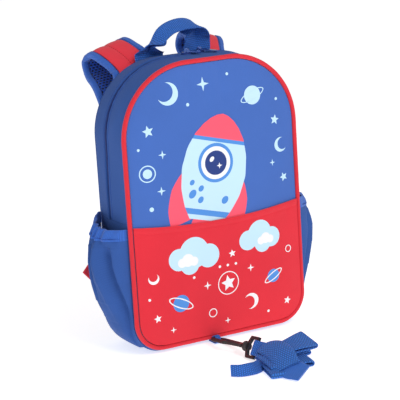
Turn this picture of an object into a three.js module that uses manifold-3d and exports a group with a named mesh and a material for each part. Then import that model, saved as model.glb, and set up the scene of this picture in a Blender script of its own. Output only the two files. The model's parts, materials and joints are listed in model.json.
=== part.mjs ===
// A toddler's harness backpack: a small two-colour school bag shape with a leash that
// clips to a loop under its base. Millimetres, +Z up, front face towards -Y, and the
// origin at the middle of the flat base that the bag stands on.
import * as THREE from "three";
import { mergeVertices } from "three/addons/utils/BufferGeometryUtils.js";
import Module from "manifold-3d";

const wasm = await Module();
wasm.setup();

// Driving dimensions of the bag
const BAG_WIDTH = 205;
const BAG_HEIGHT = 299.7;
const BAG_DEPTH = 69;
const TOP_RADIUS = 77;
const BOTTOM_RADIUS = 31;
const SEAM_HEIGHT = 6; // the piping's lowest centreline above the floor
const WALL = 2;
const GAP = 0.3;
const PIPING_RADIUS = 2.5;
const SIDE_SWELL = 2.2;
const BASE_FLAT_HALF = 24; // half the depth of the flat that the bag stands on
const PANEL_PUFF = 8;
const SEAM_Z = 144; // where the zip bands end and the lower gusset starts

// Zip
const ZIP_FRONT = 3;
const ZIP_BACK = 8;
const ZIP_SUNK = 1.1;
const TAPE_WALL = 1.2;

// Front pocket
const HEM_Z = 141;
const HEM_SAG = 5.5;
const POCKET_CLOTH = 1.5;
const POCKET_AIR = 0.6; // between the flat pocket and the panel behind it

// Back panel
const BACK_PAD = 5;
const BACK_ROUND = 12; // width of the rounded rim of the padded back

// Side pockets
const SIDE_MOUTH_Z = 132; // where the cloth ends and the elastic binding starts
const BINDING_HEIGHT = 12;
const SIDE_CLOTH = 1.5;
const BINDING_CLOTH = 2.4;
const SIDE_FOLD = 5;
const POCKET_LIFT = 0.6; // clear of the gusset under its rim

// Grab handle, from webbing that is folded lengthwise at the grip
const HANDLE_HALF = 17;
const HANDLE_CLOTH = 1.8;

// Shoulder straps
const STRAP_WIDTH = 48;
const STRAP_BINDING = 7;
const STRAP_FACE = 3.2;
const STRAP_LINING = 3.4;

// Lower strap ends
const WEBBING_WIDTH = 20;
const WEBBING_CLOTH = 1.4;
const WING_CLOTH = 2.4;

// Leash
const LEASH_WIDTH = 25;
const LEASH_LAYERS = 6; // two layers of webbing and the air between them

const HALF_W = BAG_WIDTH / 2;
const HALF_D = BAG_DEPTH / 2;
const TOP_Z = SEAM_HEIGHT + BAG_HEIGHT;
const MID_Z = SEAM_HEIGHT + BAG_HEIGHT / 2;
const BACK_Y = HALF_D + BACK_PAD;

const BLUE = { color: "#4467a8", roughness: 0.85, metalness: 0 };
const DARK_BLUE = { color: "#27408a", roughness: 0.85, metalness: 0 };
const WEBBING_BLUE = { color: "#3a70c6", roughness: 0.8, metalness: 0 };
const RED = { color: "#e23a4b", roughness: 0.8, metalness: 0 };
const BLACK_PLASTIC = { color: "#26221f", roughness: 0.45, metalness: 0 };
const PAINTED_METAL = { color: "#27479c", roughness: 0.3, metalness: 0.6 };

const bag = new THREE.Group();

const V = (x, y, z) => new THREE.Vector3(x, y, z);
const mix = (a, b, t) => a + (b - a) * t;
const steps = (from, to, count) => Array.from({ length: count + 1 }, (_, i) => mix(from, to, i / count));

// Turns a list of corners and triangles into a closed body whose faces point outwards
function body(points, triangles) {
  const volume = triangles.reduce(
    (sum, [a, b, c]) => sum + points[a].dot(V().crossVectors(points[b], points[c])) / 6,
    0,
  );
  const index = volume > 0 ? triangles : triangles.map(([a, b, c]) => [a, c, b]);
  const geometry = new THREE.BufferGeometry();
  geometry.setAttribute("position", new THREE.Float32BufferAttribute(points.flatMap((p) => [p.x, p.y, p.z]), 3));
  geometry.setIndex(index.flat());
  return geometry;
}

function add(name, geometry, look, place = bag) {
  const flat = geometry.index ? geometry.toNonIndexed() : geometry;
  flat.computeVertexNormals();
  const mesh = new THREE.Mesh(flat, new THREE.MeshStandardMaterial(look));
  mesh.name = name;
  place.add(mesh);
  return mesh;
}

// A cloth wall between two matching grids of points; ring says that the rows close on themselves
function wall(outer, inner, ring = false) {
  const rows = outer.length;
  const columns = outer[0].length;
  const points = [...outer.flat(), ...inner.flat()];
  const at = (side, i, j) => side * rows * columns + (i % rows) * columns + j;
  const triangles = [];
  const quad = (a, b, c, d) => triangles.push([a, b, c], [a, c, d]);
  for (let i = 0; i < (ring ? rows : rows - 1); i++) {
    for (let j = 0; j < columns - 1; j++) {
      quad(at(0, i, j), at(0, i + 1, j), at(0, i + 1, j + 1), at(0, i, j + 1));
      quad(at(1, i, j), at(1, i, j + 1), at(1, i + 1, j + 1), at(1, i + 1, j));
    }
    quad(at(0, i, 0), at(1, i, 0), at(1, i + 1, 0), at(0, i + 1, 0));
    const last = columns - 1;
    quad(at(0, i, last), at(0, i + 1, last), at(1, i + 1, last), at(1, i, last));
  }
  if (!ring) {
    for (let j = 0; j < columns - 1; j++) {
      const end = rows - 1;
      quad(at(0, 0, j), at(0, 0, j + 1), at(1, 0, j + 1), at(1, 0, j));
      quad(at(0, end, j), at(1, end, j), at(1, end, j + 1), at(0, end, j + 1));
    }
  }
  return body(points, triangles);
}

// A section carried along stations, each with a place p, a direction across it and one through it
function sweep(stations, sectionAt, closed = false) {
  const flats = stations.map((_, i) => sectionAt(i / (stations.length - 1), i));
  const size = flats[0].length;
  const points = stations.flatMap((s, i) =>
    flats[i].map(([a, b]) => s.p.clone().addScaledVector(s.across, a).addScaledVector(s.through, b)),
  );
  const triangles = [];
  const runs = closed ? stations.length : stations.length - 1;
  for (let i = 0; i < runs; i++) {
    const next = (i + 1) % stations.length;
    for (let k = 0; k < size; k++) {
      const m = (k + 1) % size;
      const [a, b, c, d] = [i * size + k, next * size + k, next * size + m, i * size + m];
      // the shorter diagonal, so that surfaces that lie face to face are split alike
      if (points[a].distanceTo(points[c]) <= points[b].distanceTo(points[d])) {
        triangles.push([a, b, c], [a, c, d]);
      } else {
        triangles.push([a, b, d], [b, c, d]);
      }
    }
  }
  if (!closed) {
    const cap = (ring, flip) => {
      const flat = flats[ring].map(([a, b]) => new THREE.Vector2(a, b));
      const turn = THREE.ShapeUtils.area(flat);
      THREE.ShapeUtils.triangulateShape(flat, []).forEach((face) => {
        const same = THREE.ShapeUtils.area(face.map((k) => flat[k])) * turn > 0;
        const [a, b, c] = face.map((k) => k + ring * size);
        triangles.push(same !== flip ? [a, b, c] : [a, c, b]);
      });
    };
    cap(0, false);
    cap(stations.length - 1, true);
  }
  return body(points, triangles);
}

// Stations along a smooth line through the rows of a table; ax, ay, az is the direction across
function stationsThrough(rows, count) {
  const line = new THREE.CatmullRomCurve3(rows.map((r) => V(r.x, r.y, r.z)), false, "centripetal");
  const side = new THREE.CatmullRomCurve3(rows.map((r) => V(r.ax, r.ay, r.az)), false, "centripetal");
  return steps(0, 1, count).map((t) => {
    const along = line.getTangent(t);
    const across = side.getPoint(t);
    across.addScaledVector(along, -across.dot(along)).normalize();
    const through = V().crossVectors(across, along).normalize();
    return { p: line.getPoint(t), across, through, t };
  });
}

const strip = (width, low, high) => [
  [-width / 2, low],
  [width / 2, low],
  [width / 2, high],
  [-width / 2, high],
];

const solidOf = (geometry) => {
  const bare = geometry.clone();
  bare.deleteAttribute("normal");
  bare.deleteAttribute("uv");
  const merged = mergeVertices(bare, 1e-4);
  return new wasm.Manifold(
    new wasm.Mesh({
      numProp: 3,
      vertProperties: merged.attributes.position.array,
      triVerts: new Uint32Array(merged.index.array),
    }),
  );
};
const geometryOf = (solid) => {
  const { vertProperties, triVerts } = solid.getMesh();
  const geometry = new THREE.BufferGeometry();
  geometry.setAttribute("position", new THREE.BufferAttribute(new Float32Array(vertProperties), 3));
  geometry.setIndex(new THREE.BufferAttribute(new Uint32Array(triVerts), 1));
  return geometry;
};

// The bag's outline seen from the front, as stations with a place and an outward direction.
// The upper run goes over the top from seam to seam and the lower run goes under the base.
function arc(cx, cz, radius, from, to, count) {
  return steps(from, to, count).map((deg) => {
    const a = THREE.MathUtils.degToRad(deg);
    return { x: cx + radius * Math.cos(a), z: cz + radius * Math.sin(a), nx: Math.cos(a), nz: Math.sin(a) };
  });
}
const side = (sign, from, to, count) =>
  steps(from, to, count).map((z) => ({ x: sign * HALF_W, z, nx: sign, nz: 0 }));
const LOW_Z = SEAM_HEIGHT + BOTTOM_RADIUS;
const HIGH_Z = TOP_Z - TOP_RADIUS;
const topX = HALF_W - TOP_RADIUS;
const lowX = HALF_W - BOTTOM_RADIUS;
const level = (z, nz, from, to, count) => steps(from, to, count).map((x) => ({ x, z, nx: 0, nz }));
const joined = (...runs) =>
  runs.flatMap((run, i) => (i === 0 ? run : run.slice(1)));
const upperRun = joined(
  side(1, SEAM_Z + GAP / 2, HIGH_Z, 3),
  arc(topX, HIGH_Z, TOP_RADIUS, 0, 90, 9),
  level(TOP_Z, 1, topX, -topX, 4),
  arc(-topX, HIGH_Z, TOP_RADIUS, 90, 180, 9),
  side(-1, HIGH_Z, SEAM_Z + GAP / 2, 3),
);
const lowerRun = joined(
  side(-1, SEAM_Z - GAP / 2, LOW_Z, 4),
  arc(-lowX, LOW_Z, BOTTOM_RADIUS, 180, 270, 6),
  level(SEAM_HEIGHT, -1, -lowX, lowX, 6),
  arc(lowX, LOW_Z, BOTTOM_RADIUS, 270, 360, 6),
  side(1, LOW_Z, SEAM_Z - GAP / 2, 4),
);
const wholeRun = [...upperRun, ...lowerRun];

// How far the gusset stands out of the seam outline at depth y: a slight swell on the sides
// and top, and a flat on the base for the bag to stand on
function swell(station, y) {
  const rise = 1 - (y / HALF_D) ** 2;
  const flat = Math.min(1, rise / (1 - (BASE_FLAT_HALF / HALF_D) ** 2));
  const base = Math.max(0, -station.nz) ** 2;
  return mix(SIDE_SWELL * rise, SEAM_HEIGHT * flat, base);
}
const outlinePoint = (s, out, y) => V(s.x + s.nx * out, y, s.z + s.nz * out);

function gussetStrip(run, depths, sunk, thick) {
  const grid = (drop) => run.map((s) => depths.map((y) => outlinePoint(s, swell(s, y) - sunk - drop, y)));
  return wall(grid(0), grid(thick));
}

// Half the outline's width at height z, inside the piping by inset
function halfWidth(z, inset) {
  const low = LOW_Z - z;
  const high = z - HIGH_Z;
  if (low > 0) return lowX + Math.sqrt(Math.max(0, (BOTTOM_RADIUS - inset) ** 2 - low ** 2));
  if (high > 0) return topX + Math.sqrt(Math.max(0, (TOP_RADIUS - inset) ** 2 - high ** 2));
  return HALF_W - inset;
}

// How far out the puffed front stands: 0 at the piping, the full puff in the middle.
// share is the point's distance from the middle as a share of the outline's in that direction.
function puff(x, z) {
  let low = 0;
  let high = 1;
  for (let i = 0; i < 24; i++) {
    const share = (low + high) / 2;
    const px = Math.abs(x) / share;
    const pz = MID_Z + (z - MID_Z) / share;
    const inside = pz > SEAM_HEIGHT && pz < TOP_Z && px < halfWidth(pz, 0);
    if (inside) high = share;
    else low = share;
  }
  const share = (low + high) / 2;
  const crease = Math.exp(-(((x + 6) / 7) ** 2)) * THREE.MathUtils.smoothstep(z, 225, 285);
  return PANEL_PUFF * (1 - share ** 2.6) - 1.6 * crease * (1 - share);
}

const EDGE_INSET = PIPING_RADIUS + GAP + 0.1;

function frontPanel() {
  const shares = [1, 0.88, 0.7, 0.42, 0];
  const grid = (back) =>
    shares.map((share) =>
      wholeRun.map((s) => {
        const x = (s.x - s.nx * EDGE_INSET) * share;
        const z = MID_Z + (s.z - s.nz * EDGE_INSET - MID_Z) * share;
        return V(x, -HALF_D - puff(x, z) + back, z);
      }),
    );
  return discWall(grid(0), grid(WALL));
}

// A wall whose rows are rings that shrink to one point
function discWall(outer, inner) {
  const count = outer[0].length;
  const rings = outer.length - 1;
  const points = [];
  [outer, inner].forEach((grid) => {
    grid.slice(0, rings).forEach((row) => points.push(...row));
    points.push(grid[rings][0]);
  });
  const half = rings * count + 1;
  const triangles = [];
  for (let side = 0; side < 2; side++) {
    const push = (a, b, c) => triangles.push(side ? [a, c, b] : [a, b, c]);
    const at = (i, j) => side * half + i * count + (j % count);
    for (let j = 0; j < count; j++) {
      for (let i = 0; i < rings - 1; i++) {
        push(at(i, j), at(i, j + 1), at(i + 1, j + 1));
        push(at(i, j), at(i + 1, j + 1), at(i + 1, j));
      }
      push(at(rings - 1, j), at(rings - 1, j + 1), side * half + half - 1);
    }
  }
  for (let j = 0; j < count; j++) {
    const next = (j + 1) % count;
    triangles.push([j, half + j, half + next], [j, half + next, next]);
  }
  return body(points, triangles);
}

const hemHeight = (x) => HEM_Z - HEM_SAG * (1 - (x / HALF_W) ** 2);

function frontPocket() {
  const low = SEAM_HEIGHT + EDGE_INSET;
  const rows = [0, 0.03, 0.09, 0.2, 0.4, 0.65, 0.9, 1];
  const columns = steps(-1, 1, 14);
  const grid = (out) =>
    rows.map((share) =>
      columns.map((c) => {
        const z = mix(low, hemHeight(c * HALF_W), share);
        const x = c * halfWidth(z, EDGE_INSET);
        return V(x, -HALF_D - puff(x, z) - out, z);
      }),
    );
  return wall(grid(POCKET_AIR + POCKET_CLOTH), grid(POCKET_AIR));
}

function piping() {
  const stations = wholeRun.map((s) => ({
    p: V(s.x, -HALF_D, s.z),
    across: V(s.nx, 0, s.nz),
    through: V(0, 1, 0),
  }));
  const circle = steps(0, 2 * Math.PI, 6).slice(0, 6);
  const section = circle.map((a) => [PIPING_RADIUS * Math.cos(a), PIPING_RADIUS * Math.sin(a)]);
  return sweep(stations, () => section, true);
}

function backPanel() {
  const rims = [
    { inset: 0, y: HALF_D + 1 },
    { inset: 3, y: BACK_Y - 1.6 },
    { inset: BACK_ROUND, y: BACK_Y },
  ];
  const rowAt = (inset, y) => wholeRun.map((s) => outlinePoint(s, -Math.min(inset, BOTTOM_RADIUS - 1), y));
  const centre = (y) => wholeRun.map(() => V(0, y, MID_Z));
  const outer = [...rims.map((r) => rowAt(r.inset, r.y)), centre(BACK_Y)];
  const inner = [...rims.map((r) => rowAt(r.inset, HALF_D)), centre(HALF_D)];
  return discWall(outer, inner);
}

// Side pockets, worked out down the gusset from the mouth. drop is the distance down the
// outline and bulge is how far the cloth stands out in the middle of the bag's depth.
const POCKET_ROWS = [
  { drop: -18, bulge: 10 },
  { drop: -12, bulge: 13 },
  { drop: 0, bulge: 20 },
  { drop: 12, bulge: 25.5 },
  { drop: 30, bulge: 29 },
  { drop: 50, bulge: 27.5 },
  { drop: 74, bulge: 20.5 },
  { drop: 95, bulge: 11 },
  { drop: 110, bulge: 4.5 },
  { drop: 124, bulge: 0.4 },
];
const POCKET_FRONT = -31.4;
const POCKET_BACK = 33.9;

function bulgeAt(drop) {
  const k = POCKET_ROWS.findIndex((row) => row.drop >= drop);
  const above = POCKET_ROWS[Math.max(0, k - 1)];
  const below = POCKET_ROWS[k];
  const share = below.drop === above.drop ? 0 : (drop - above.drop) / (below.drop - above.drop);
  return mix(above.bulge, below.bulge, THREE.MathUtils.smoothstep(share, -0.25, 1.25));
}

// A place on the bag's side outline, drop below the pocket's mouth and round the lower corner
function sideStation(sign, drop) {
  const straight = SIDE_MOUTH_Z - LOW_Z;
  if (drop <= straight) return { x: sign * HALF_W, z: SIDE_MOUTH_Z - drop, nx: sign, nz: 0 };
  const a = (drop - straight) / BOTTOM_RADIUS;
  return {
    x: sign * (lowX + BOTTOM_RADIUS * Math.cos(a)),
    z: LOW_Z - BOTTOM_RADIUS * Math.sin(a),
    nx: sign * Math.cos(a),
    nz: -Math.sin(a),
  };
}

function sidePocket(sign, drops, thick) {
  const middle = (POCKET_FRONT + POCKET_BACK) / 2;
  const half = (POCKET_BACK - POCKET_FRONT) / 2;
  const columns = steps(-1, 1, 12).map((c) => middle + half * Math.sin((c * Math.PI) / 2));
  const grid = (out) =>
    drops.map((row) =>
      columns.map((y) => {
        const across = (y - middle) / half;
        const drop = row.drop + (row.sag ?? 0) * (1 - across ** 2) - (row.tilt ?? 0) * across;
        const s = sideStation(sign, drop);
        const shape = Math.max(0, 1 - across ** 2) ** 0.7;
        const foldY = mix(-13, -28, THREE.MathUtils.smoothstep(drop, -5, 115));
        const fold = SIDE_FOLD * Math.exp(-(((y - foldY) / 4.5) ** 2)) * Math.min(1, Math.max(0, drop / 20));
        const bulge = Math.max(0, bulgeAt(drop) * shape - fold * shape);
        return outlinePoint(s, swell(s, y) + POCKET_LIFT + bulge + out, y);
      }),
    );
  return wall(grid(thick), grid(0));
}

// Grab handle: ix, iy, iz points to the inside of the arch and fold is the angle in degrees
// by which each half of the webbing is turned to that side
const HANDLE_ROWS = [
  { x: -28.6, y: 41.4, z: 284, ix: 0, iy: -1, iz: 0, fold: 0 },
  { x: -28.6, y: 41.6, z: 308, ix: 0, iy: -1, iz: 0, fold: 0 },
  { x: -28.1, y: 41.6, z: 313, ix: -0.1, iy: -1, iz: 0, fold: 48 },
  { x: -26.6, y: 41, z: 318.5, ix: -0.35, iy: -0.93, iz: 0, fold: 78 },
  { x: -23.5, y: 39.5, z: 325.5, ix: 0.75, iy: -0.65, iz: -0.1, fold: 76 },
  { x: -17.7, y: 38.5, z: 333.7, ix: 0.8, iy: -0.1, iz: -0.6, fold: 52 },
  { x: -6.9, y: 38, z: 339.6, ix: 0.4, iy: 0, iz: -0.9, fold: 44 },
  { x: 9.8, y: 38, z: 342.2, ix: 0, iy: 0, iz: -1, fold: 42 },
  { x: 22, y: 38.5, z: 338.8, ix: -0.35, iy: -0.3, iz: -0.9, fold: 46 },
  { x: 28.5, y: 40.8, z: 329.5, ix: -0.25, iy: -0.95, iz: -0.2, fold: 54 },
  { x: 28.5, y: 41.8, z: 319, ix: 0, iy: -1, iz: 0, fold: 24 },
  { x: 29, y: 41.4, z: 306, ix: 0, iy: -1, iz: 0, fold: 4 },
  { x: 29, y: 41.4, z: 284, ix: 0, iy: -1, iz: 0, fold: 0 },
];

function grabHandle() {
  const line = new THREE.CatmullRomCurve3(HANDLE_ROWS.map((r) => V(r.x, r.y, r.z)), false, "centripetal");
  const inward = new THREE.CatmullRomCurve3(HANDLE_ROWS.map((r) => V(r.ix, r.iy, r.iz)), false, "centripetal");
  const foldAt = (t) => {
    const place = t * (HANDLE_ROWS.length - 1);
    const k = Math.min(HANDLE_ROWS.length - 2, Math.floor(place));
    return THREE.MathUtils.degToRad(mix(HANDLE_ROWS[k].fold, HANDLE_ROWS[k + 1].fold, place - k));
  };
  const stations = steps(0, 1, 34).map((t) => {
    const along = line.getTangent(t);
    const inside = inward.getPoint(t);
    inside.addScaledVector(along, -inside.dot(along)).normalize();
    return { p: line.getPoint(t), across: V().crossVectors(along, inside).normalize(), through: inside };
  });
  const half = HANDLE_CLOTH / 2;
  return sweep(stations, (t) => {
    const a = foldAt(t);
    const c = Math.cos(a);
    const s = Math.sin(a);
    const inner = half / c;
    return [
      [0, -half],
      [HANDLE_HALF * c + half * s, HANDLE_HALF * s - half * c],
      [HANDLE_HALF * c - half * s, HANDLE_HALF * s + half * c],
      [0, inner],
      [-HANDLE_HALF * c + half * s, HANDLE_HALF * s + half * c],
      [-HANDLE_HALF * c - half * s, HANDLE_HALF * s - half * c],
    ];
  });
}

// Left shoulder strap's middle line, from its root on the back panel, over the fold behind
// the bag and down to the end of the pad; a is the direction from its outer to its inner edge
const STRAP_ROWS = [
  { x: -46, y: 46.2, z: 270, ax: 1, ay: 0, az: 0.08 },
  { x: -46, y: 46.4, z: 284, ax: 0.97, ay: 0.02, az: 0.24 },
  { x: -47, y: 50, z: 298, ax: 0.89, ay: 0.06, az: 0.45 },
  { x: -52, y: 63, z: 308, ax: 0.93, ay: 0.07, az: 0.36 },
  { x: -58, y: 80, z: 314.5, ax: 0.96, ay: 0.08, az: 0.28 },
  { x: -59, y: 92, z: 311, ax: 0.96, ay: 0.08, az: 0.28 },
  { x: -59, y: 97, z: 302, ax: 0.96, ay: 0.08, az: 0.28 },
  { x: -59, y: 93, z: 292, ax: 0.96, ay: 0.08, az: 0.27 },
  { x: -58.5, y: 80, z: 281, ax: 0.96, ay: 0.08, az: 0.25 },
  { x: -58, y: 68, z: 268, ax: 0.98, ay: 0.05, az: 0.18 },
  { x: -57, y: 61, z: 248, ax: 1, ay: 0, az: 0.08 },
  { x: -56, y: 58, z: 215, ax: 1, ay: 0, az: 0 },
  { x: -56, y: 56, z: 175, ax: 1, ay: 0, az: -0.05 },
  { x: -60, y: 56, z: 148, ax: 0.95, ay: 0, az: -0.3 },
  { x: -68, y: 54, z: 128.4, ax: 0.9, ay: 0, az: -0.43 },
];
const STRAP_STEPS = 30;

function mirrored(rows, sign) {
  return rows.map((r) => ({ ...r, x: -sign * r.x, ax: -sign * r.ax }));
}

function strapPieces(sign, name) {
  const stations = stationsThrough(mirrored(STRAP_ROWS, sign), STRAP_STEPS);
  // the red face is on the side that the upper limb turns up
  const up = stations[Math.round(STRAP_STEPS * 0.25)].through.z > 0 ? 1 : -1;
  const faceWidth = STRAP_WIDTH - 2 * STRAP_BINDING - 2 * GAP;
  const flat = (low, high) => strip(faceWidth, up * low, up * high);
  add("strap_face_" + name, sweep(stations, () => flat(GAP / 2, STRAP_FACE)), RED);
  add("strap_lining_" + name, sweep(stations, () => flat(-STRAP_LINING, -GAP / 2)), DARK_BLUE);
  const inner = STRAP_WIDTH / 2 - STRAP_BINDING;
  const edge = STRAP_WIDTH / 2;
  const top = up * (STRAP_FACE - 0.2);
  const low = -up * (STRAP_LINING - 0.2);
  const profile = (turn) => [
    [turn * inner, low],
    [turn * (edge - 1.2), low],
    [turn * edge, low * 0.5],
    [turn * edge, top * 0.5],
    [turn * (edge - 1.2), top],
    [turn * inner, top],
  ];
  add("strap_binding_outer_" + name, sweep(stations, () => profile(-1)), WEBBING_BLUE);
  add("strap_binding_inner_" + name, sweep(stations, () => profile(1)), WEBBING_BLUE);
}

// Plain black ladder lock near the pad's end. Webbing folds round its upper bar into the pad
// and round its lower bar towards a triangular wing that is sewn to the back panel.
const LOCK = { x: 76.3, y: 51, z: 109.6, lean: 24, pitch: 8.5, width: 27, height: 22, bar: 3.4, thick: 3.2 };
const WING_ROWS = [
  { x: 84, z: 52 },
  { x: 101, z: 53 },
  { x: 126.5, z: 82.6 },
  { x: 101, z: 111 },
  { x: 84, z: 112 },
];

function plate(corners, holes, depth) {
  const outline = new THREE.Shape(corners.map(([x, y]) => new THREE.Vector2(x, y)));
  holes.forEach((hole) => outline.holes.push(new THREE.Path(hole.map(([x, y]) => new THREE.Vector2(x, y)))));
  return new THREE.ExtrudeGeometry(outline, { depth, bevelEnabled: false });
}
const oblong = (halfX, low, high) => [
  [-halfX, low],
  [halfX, low],
  [halfX, high],
  [-halfX, high],
];

// A tongue of doubled webbing, seen from its edge: it is wrapped round a bar at 0,0 and runs
// off along -Y, and depth is the webbing's width
function wrapped(barRadius, cloth, tail, width) {
  const inner = barRadius + GAP;
  const outer = inner + cloth;
  const outline = new THREE.Shape();
  outline.moveTo(-cloth - 0.05, -tail);
  outline.lineTo(cloth + 0.05, -tail);
  outline.lineTo(cloth + 0.05, -outer - 1.5);
  outline.absarc(0, 0, outer, -0.25 * Math.PI, 1.25 * Math.PI, false);
  outline.lineTo(-cloth - 0.05, -outer - 1.5);
  const hole = new THREE.Path();
  hole.absarc(0, 0, inner, 0, 2 * Math.PI, true);
  outline.holes.push(hole);
  const loop = new THREE.ExtrudeGeometry(outline, { depth: width, bevelEnabled: false, curveSegments: 8 });
  return loop.translate(0, 0, -width / 2);
}

function lowerStrap(sign, name) {
  // in this group +X runs across the webbing, +Y up along it and +Z to the front
  const frame = new THREE.Group();
  frame.position.set(sign * LOCK.x, LOCK.y, LOCK.z);
  const lean = THREE.MathUtils.degToRad(sign * LOCK.lean);
  frame.setRotationFromMatrix(
    new THREE.Matrix4().makeBasis(
      V(Math.cos(lean), 0, Math.sin(lean)),
      V(-Math.sin(lean), 0, Math.cos(lean)),
      V(0, -1, 0),
    ),
  );
  frame.rotateX(THREE.MathUtils.degToRad(-LOCK.pitch));
  bag.add(frame);
  const slotHalf = WEBBING_WIDTH / 2 + 0.7;
  const top = LOCK.height / 2;
  const slots = [oblong(slotHalf, -top + LOCK.bar, -1), oblong(slotHalf, 1, top - LOCK.bar)];
  const lock = plate(oblong(LOCK.width / 2, -top, top), slots, LOCK.thick);
  add("strap_adjuster_" + name, lock.translate(0, 0, -LOCK.thick / 2), BLACK_PLASTIC, frame);
  const barRadius = Math.hypot(LOCK.bar, LOCK.thick) / 2;
  const barY = top - LOCK.bar / 2;
  const turn = (geometry, flip) => geometry.rotateY(Math.PI / 2).rotateX(flip ? Math.PI : 0);
  const tab = turn(wrapped(barRadius, WEBBING_CLOTH, 9.5, WEBBING_WIDTH), true);
  add("strap_tab_" + name, tab.translate(0, barY, 0), WEBBING_BLUE, frame);
  const webbing = turn(wrapped(barRadius, WEBBING_CLOTH, 38, WEBBING_WIDTH), false);
  add("strap_webbing_" + name, webbing.translate(0, -barY, 0), WEBBING_BLUE, frame);
  const wing = plate(WING_ROWS.map((r) => [sign * r.x, r.z]), [], WING_CLOTH);
  wing.rotateX(Math.PI / 2);
  add("anchor_wing_" + name, wing.translate(0, BACK_Y + GAP + WING_CLOTH, 0), RED);
}

// Zip sliders on the crown of the bag, with pull tabs that lie towards the front
const SLIDER = { length: 11, width: 7, height: 2.2, y: 5.5, left: -1.5, right: 13.5 };
const CROWN = { inner: 1.3, outer: 2.6, width: 1.8, pin: 1.4 };
const PULL = { width: 5.6, thick: 1.3, arm: 1.2, window: 3.1, yaw: -52, droop: 6 };
const PULL_LENGTHS = { left: 16, right: 21 };
const SLIDER_BASE = TOP_Z + SIDE_SWELL * (1 - (SLIDER.y / HALF_D) ** 2) + GAP;
const PIN_Z = SLIDER_BASE + SLIDER.height + CROWN.pin;

function bar(ax, ay, az, bx, by, bz) {
  const box = new THREE.BoxGeometry(bx - ax, by - ay, bz - az);
  return box.translate((ax + bx) / 2, (ay + by) / 2, (az + bz) / 2);
}
const fuse = (geometries) => geometryOf(geometries.map(solidOf).reduce((all, one) => all.add(one)));

// The slider's group has its pin at the origin and its pull runs along +X
function zipSlider(x, name, length) {
  const group = new THREE.Group();
  group.position.set(x, SLIDER.y, PIN_Z);
  group.rotation.z = THREE.MathUtils.degToRad(PULL.yaw);
  bag.add(group);
  const half = SLIDER.length / 2;
  const nose = SLIDER.width / 2;
  const foot = [
    [-half, -nose + 1],
    [-half + 1.5, -nose],
    [half - 1.5, -nose],
    [half, -nose + 1],
    [half, nose - 1],
    [half - 1.5, nose],
    [-half + 1.5, nose],
    [-half, nose - 1],
  ];
  const base = plate(foot, [], SLIDER.height).rotateZ(THREE.MathUtils.degToRad(-PULL.yaw));
  base.translate(0, 0, SLIDER_BASE - PIN_Z);
  const ring = new THREE.Shape();
  const legs = -CROWN.pin - 0.4;
  ring.moveTo(-CROWN.outer, legs);
  ring.lineTo(-CROWN.inner, legs);
  ring.lineTo(-CROWN.inner, 0);
  ring.absarc(0, 0, CROWN.inner, Math.PI, 0, true);
  ring.lineTo(CROWN.inner, legs);
  ring.lineTo(CROWN.outer, legs);
  ring.lineTo(CROWN.outer, 0);
  ring.absarc(0, 0, CROWN.outer, 0, Math.PI, false);
  const crown = new THREE.ExtrudeGeometry(ring, { depth: CROWN.width, bevelEnabled: false, curveSegments: 8 });
  crown.rotateX(Math.PI / 2).translate(0, CROWN.width / 2, 0);
  add("zip_slider_" + name, fuse([base, crown]), PAINTED_METAL, group);
  // the pull is a plate with a window, and the pin at the window's end passes under the crown
  const w = PULL.width / 2;
  const t = PULL.thick / 2;
  const pin = new THREE.CylinderGeometry(t, t, PULL.width, 10);
  const tip = new THREE.CylinderGeometry(w, w, PULL.thick, 16).rotateX(Math.PI / 2).translate(length - w, 0, 0);
  const pull = fuse([
    pin,
    bar(0, -w, -t, PULL.window, -w + PULL.arm, t),
    bar(0, w - PULL.arm, -t, PULL.window, w, t),
    bar(PULL.window, -w, -t, length - w, w, t),
    tip,
  ]);
  pull.rotateY(THREE.MathUtils.degToRad(PULL.droop));
  add("zip_pull_" + name, pull, PAINTED_METAL, group);
}

// Swivel snap hook of black plastic, lying in front of the bag with its nose through the
// loop. In the hook's group +X runs from the nose wire to the swivel, +Y across to the arm
// and +Z up.
const HOOK = { x: -13.5, y: -42, z: 4.9, wire: 4.2, thick: 3.8, bevel: 0.6, radius: 7.1, neck: 54, collar: 6 };
const HOOK_AXIS = V(0.065, -0.994, 0.1).normalize();
const HOOK_ROLL = 14;
const EYE = { start: 63, bar: 77, half: 10.2, wire: 3.4, tilt: 29 };

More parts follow.
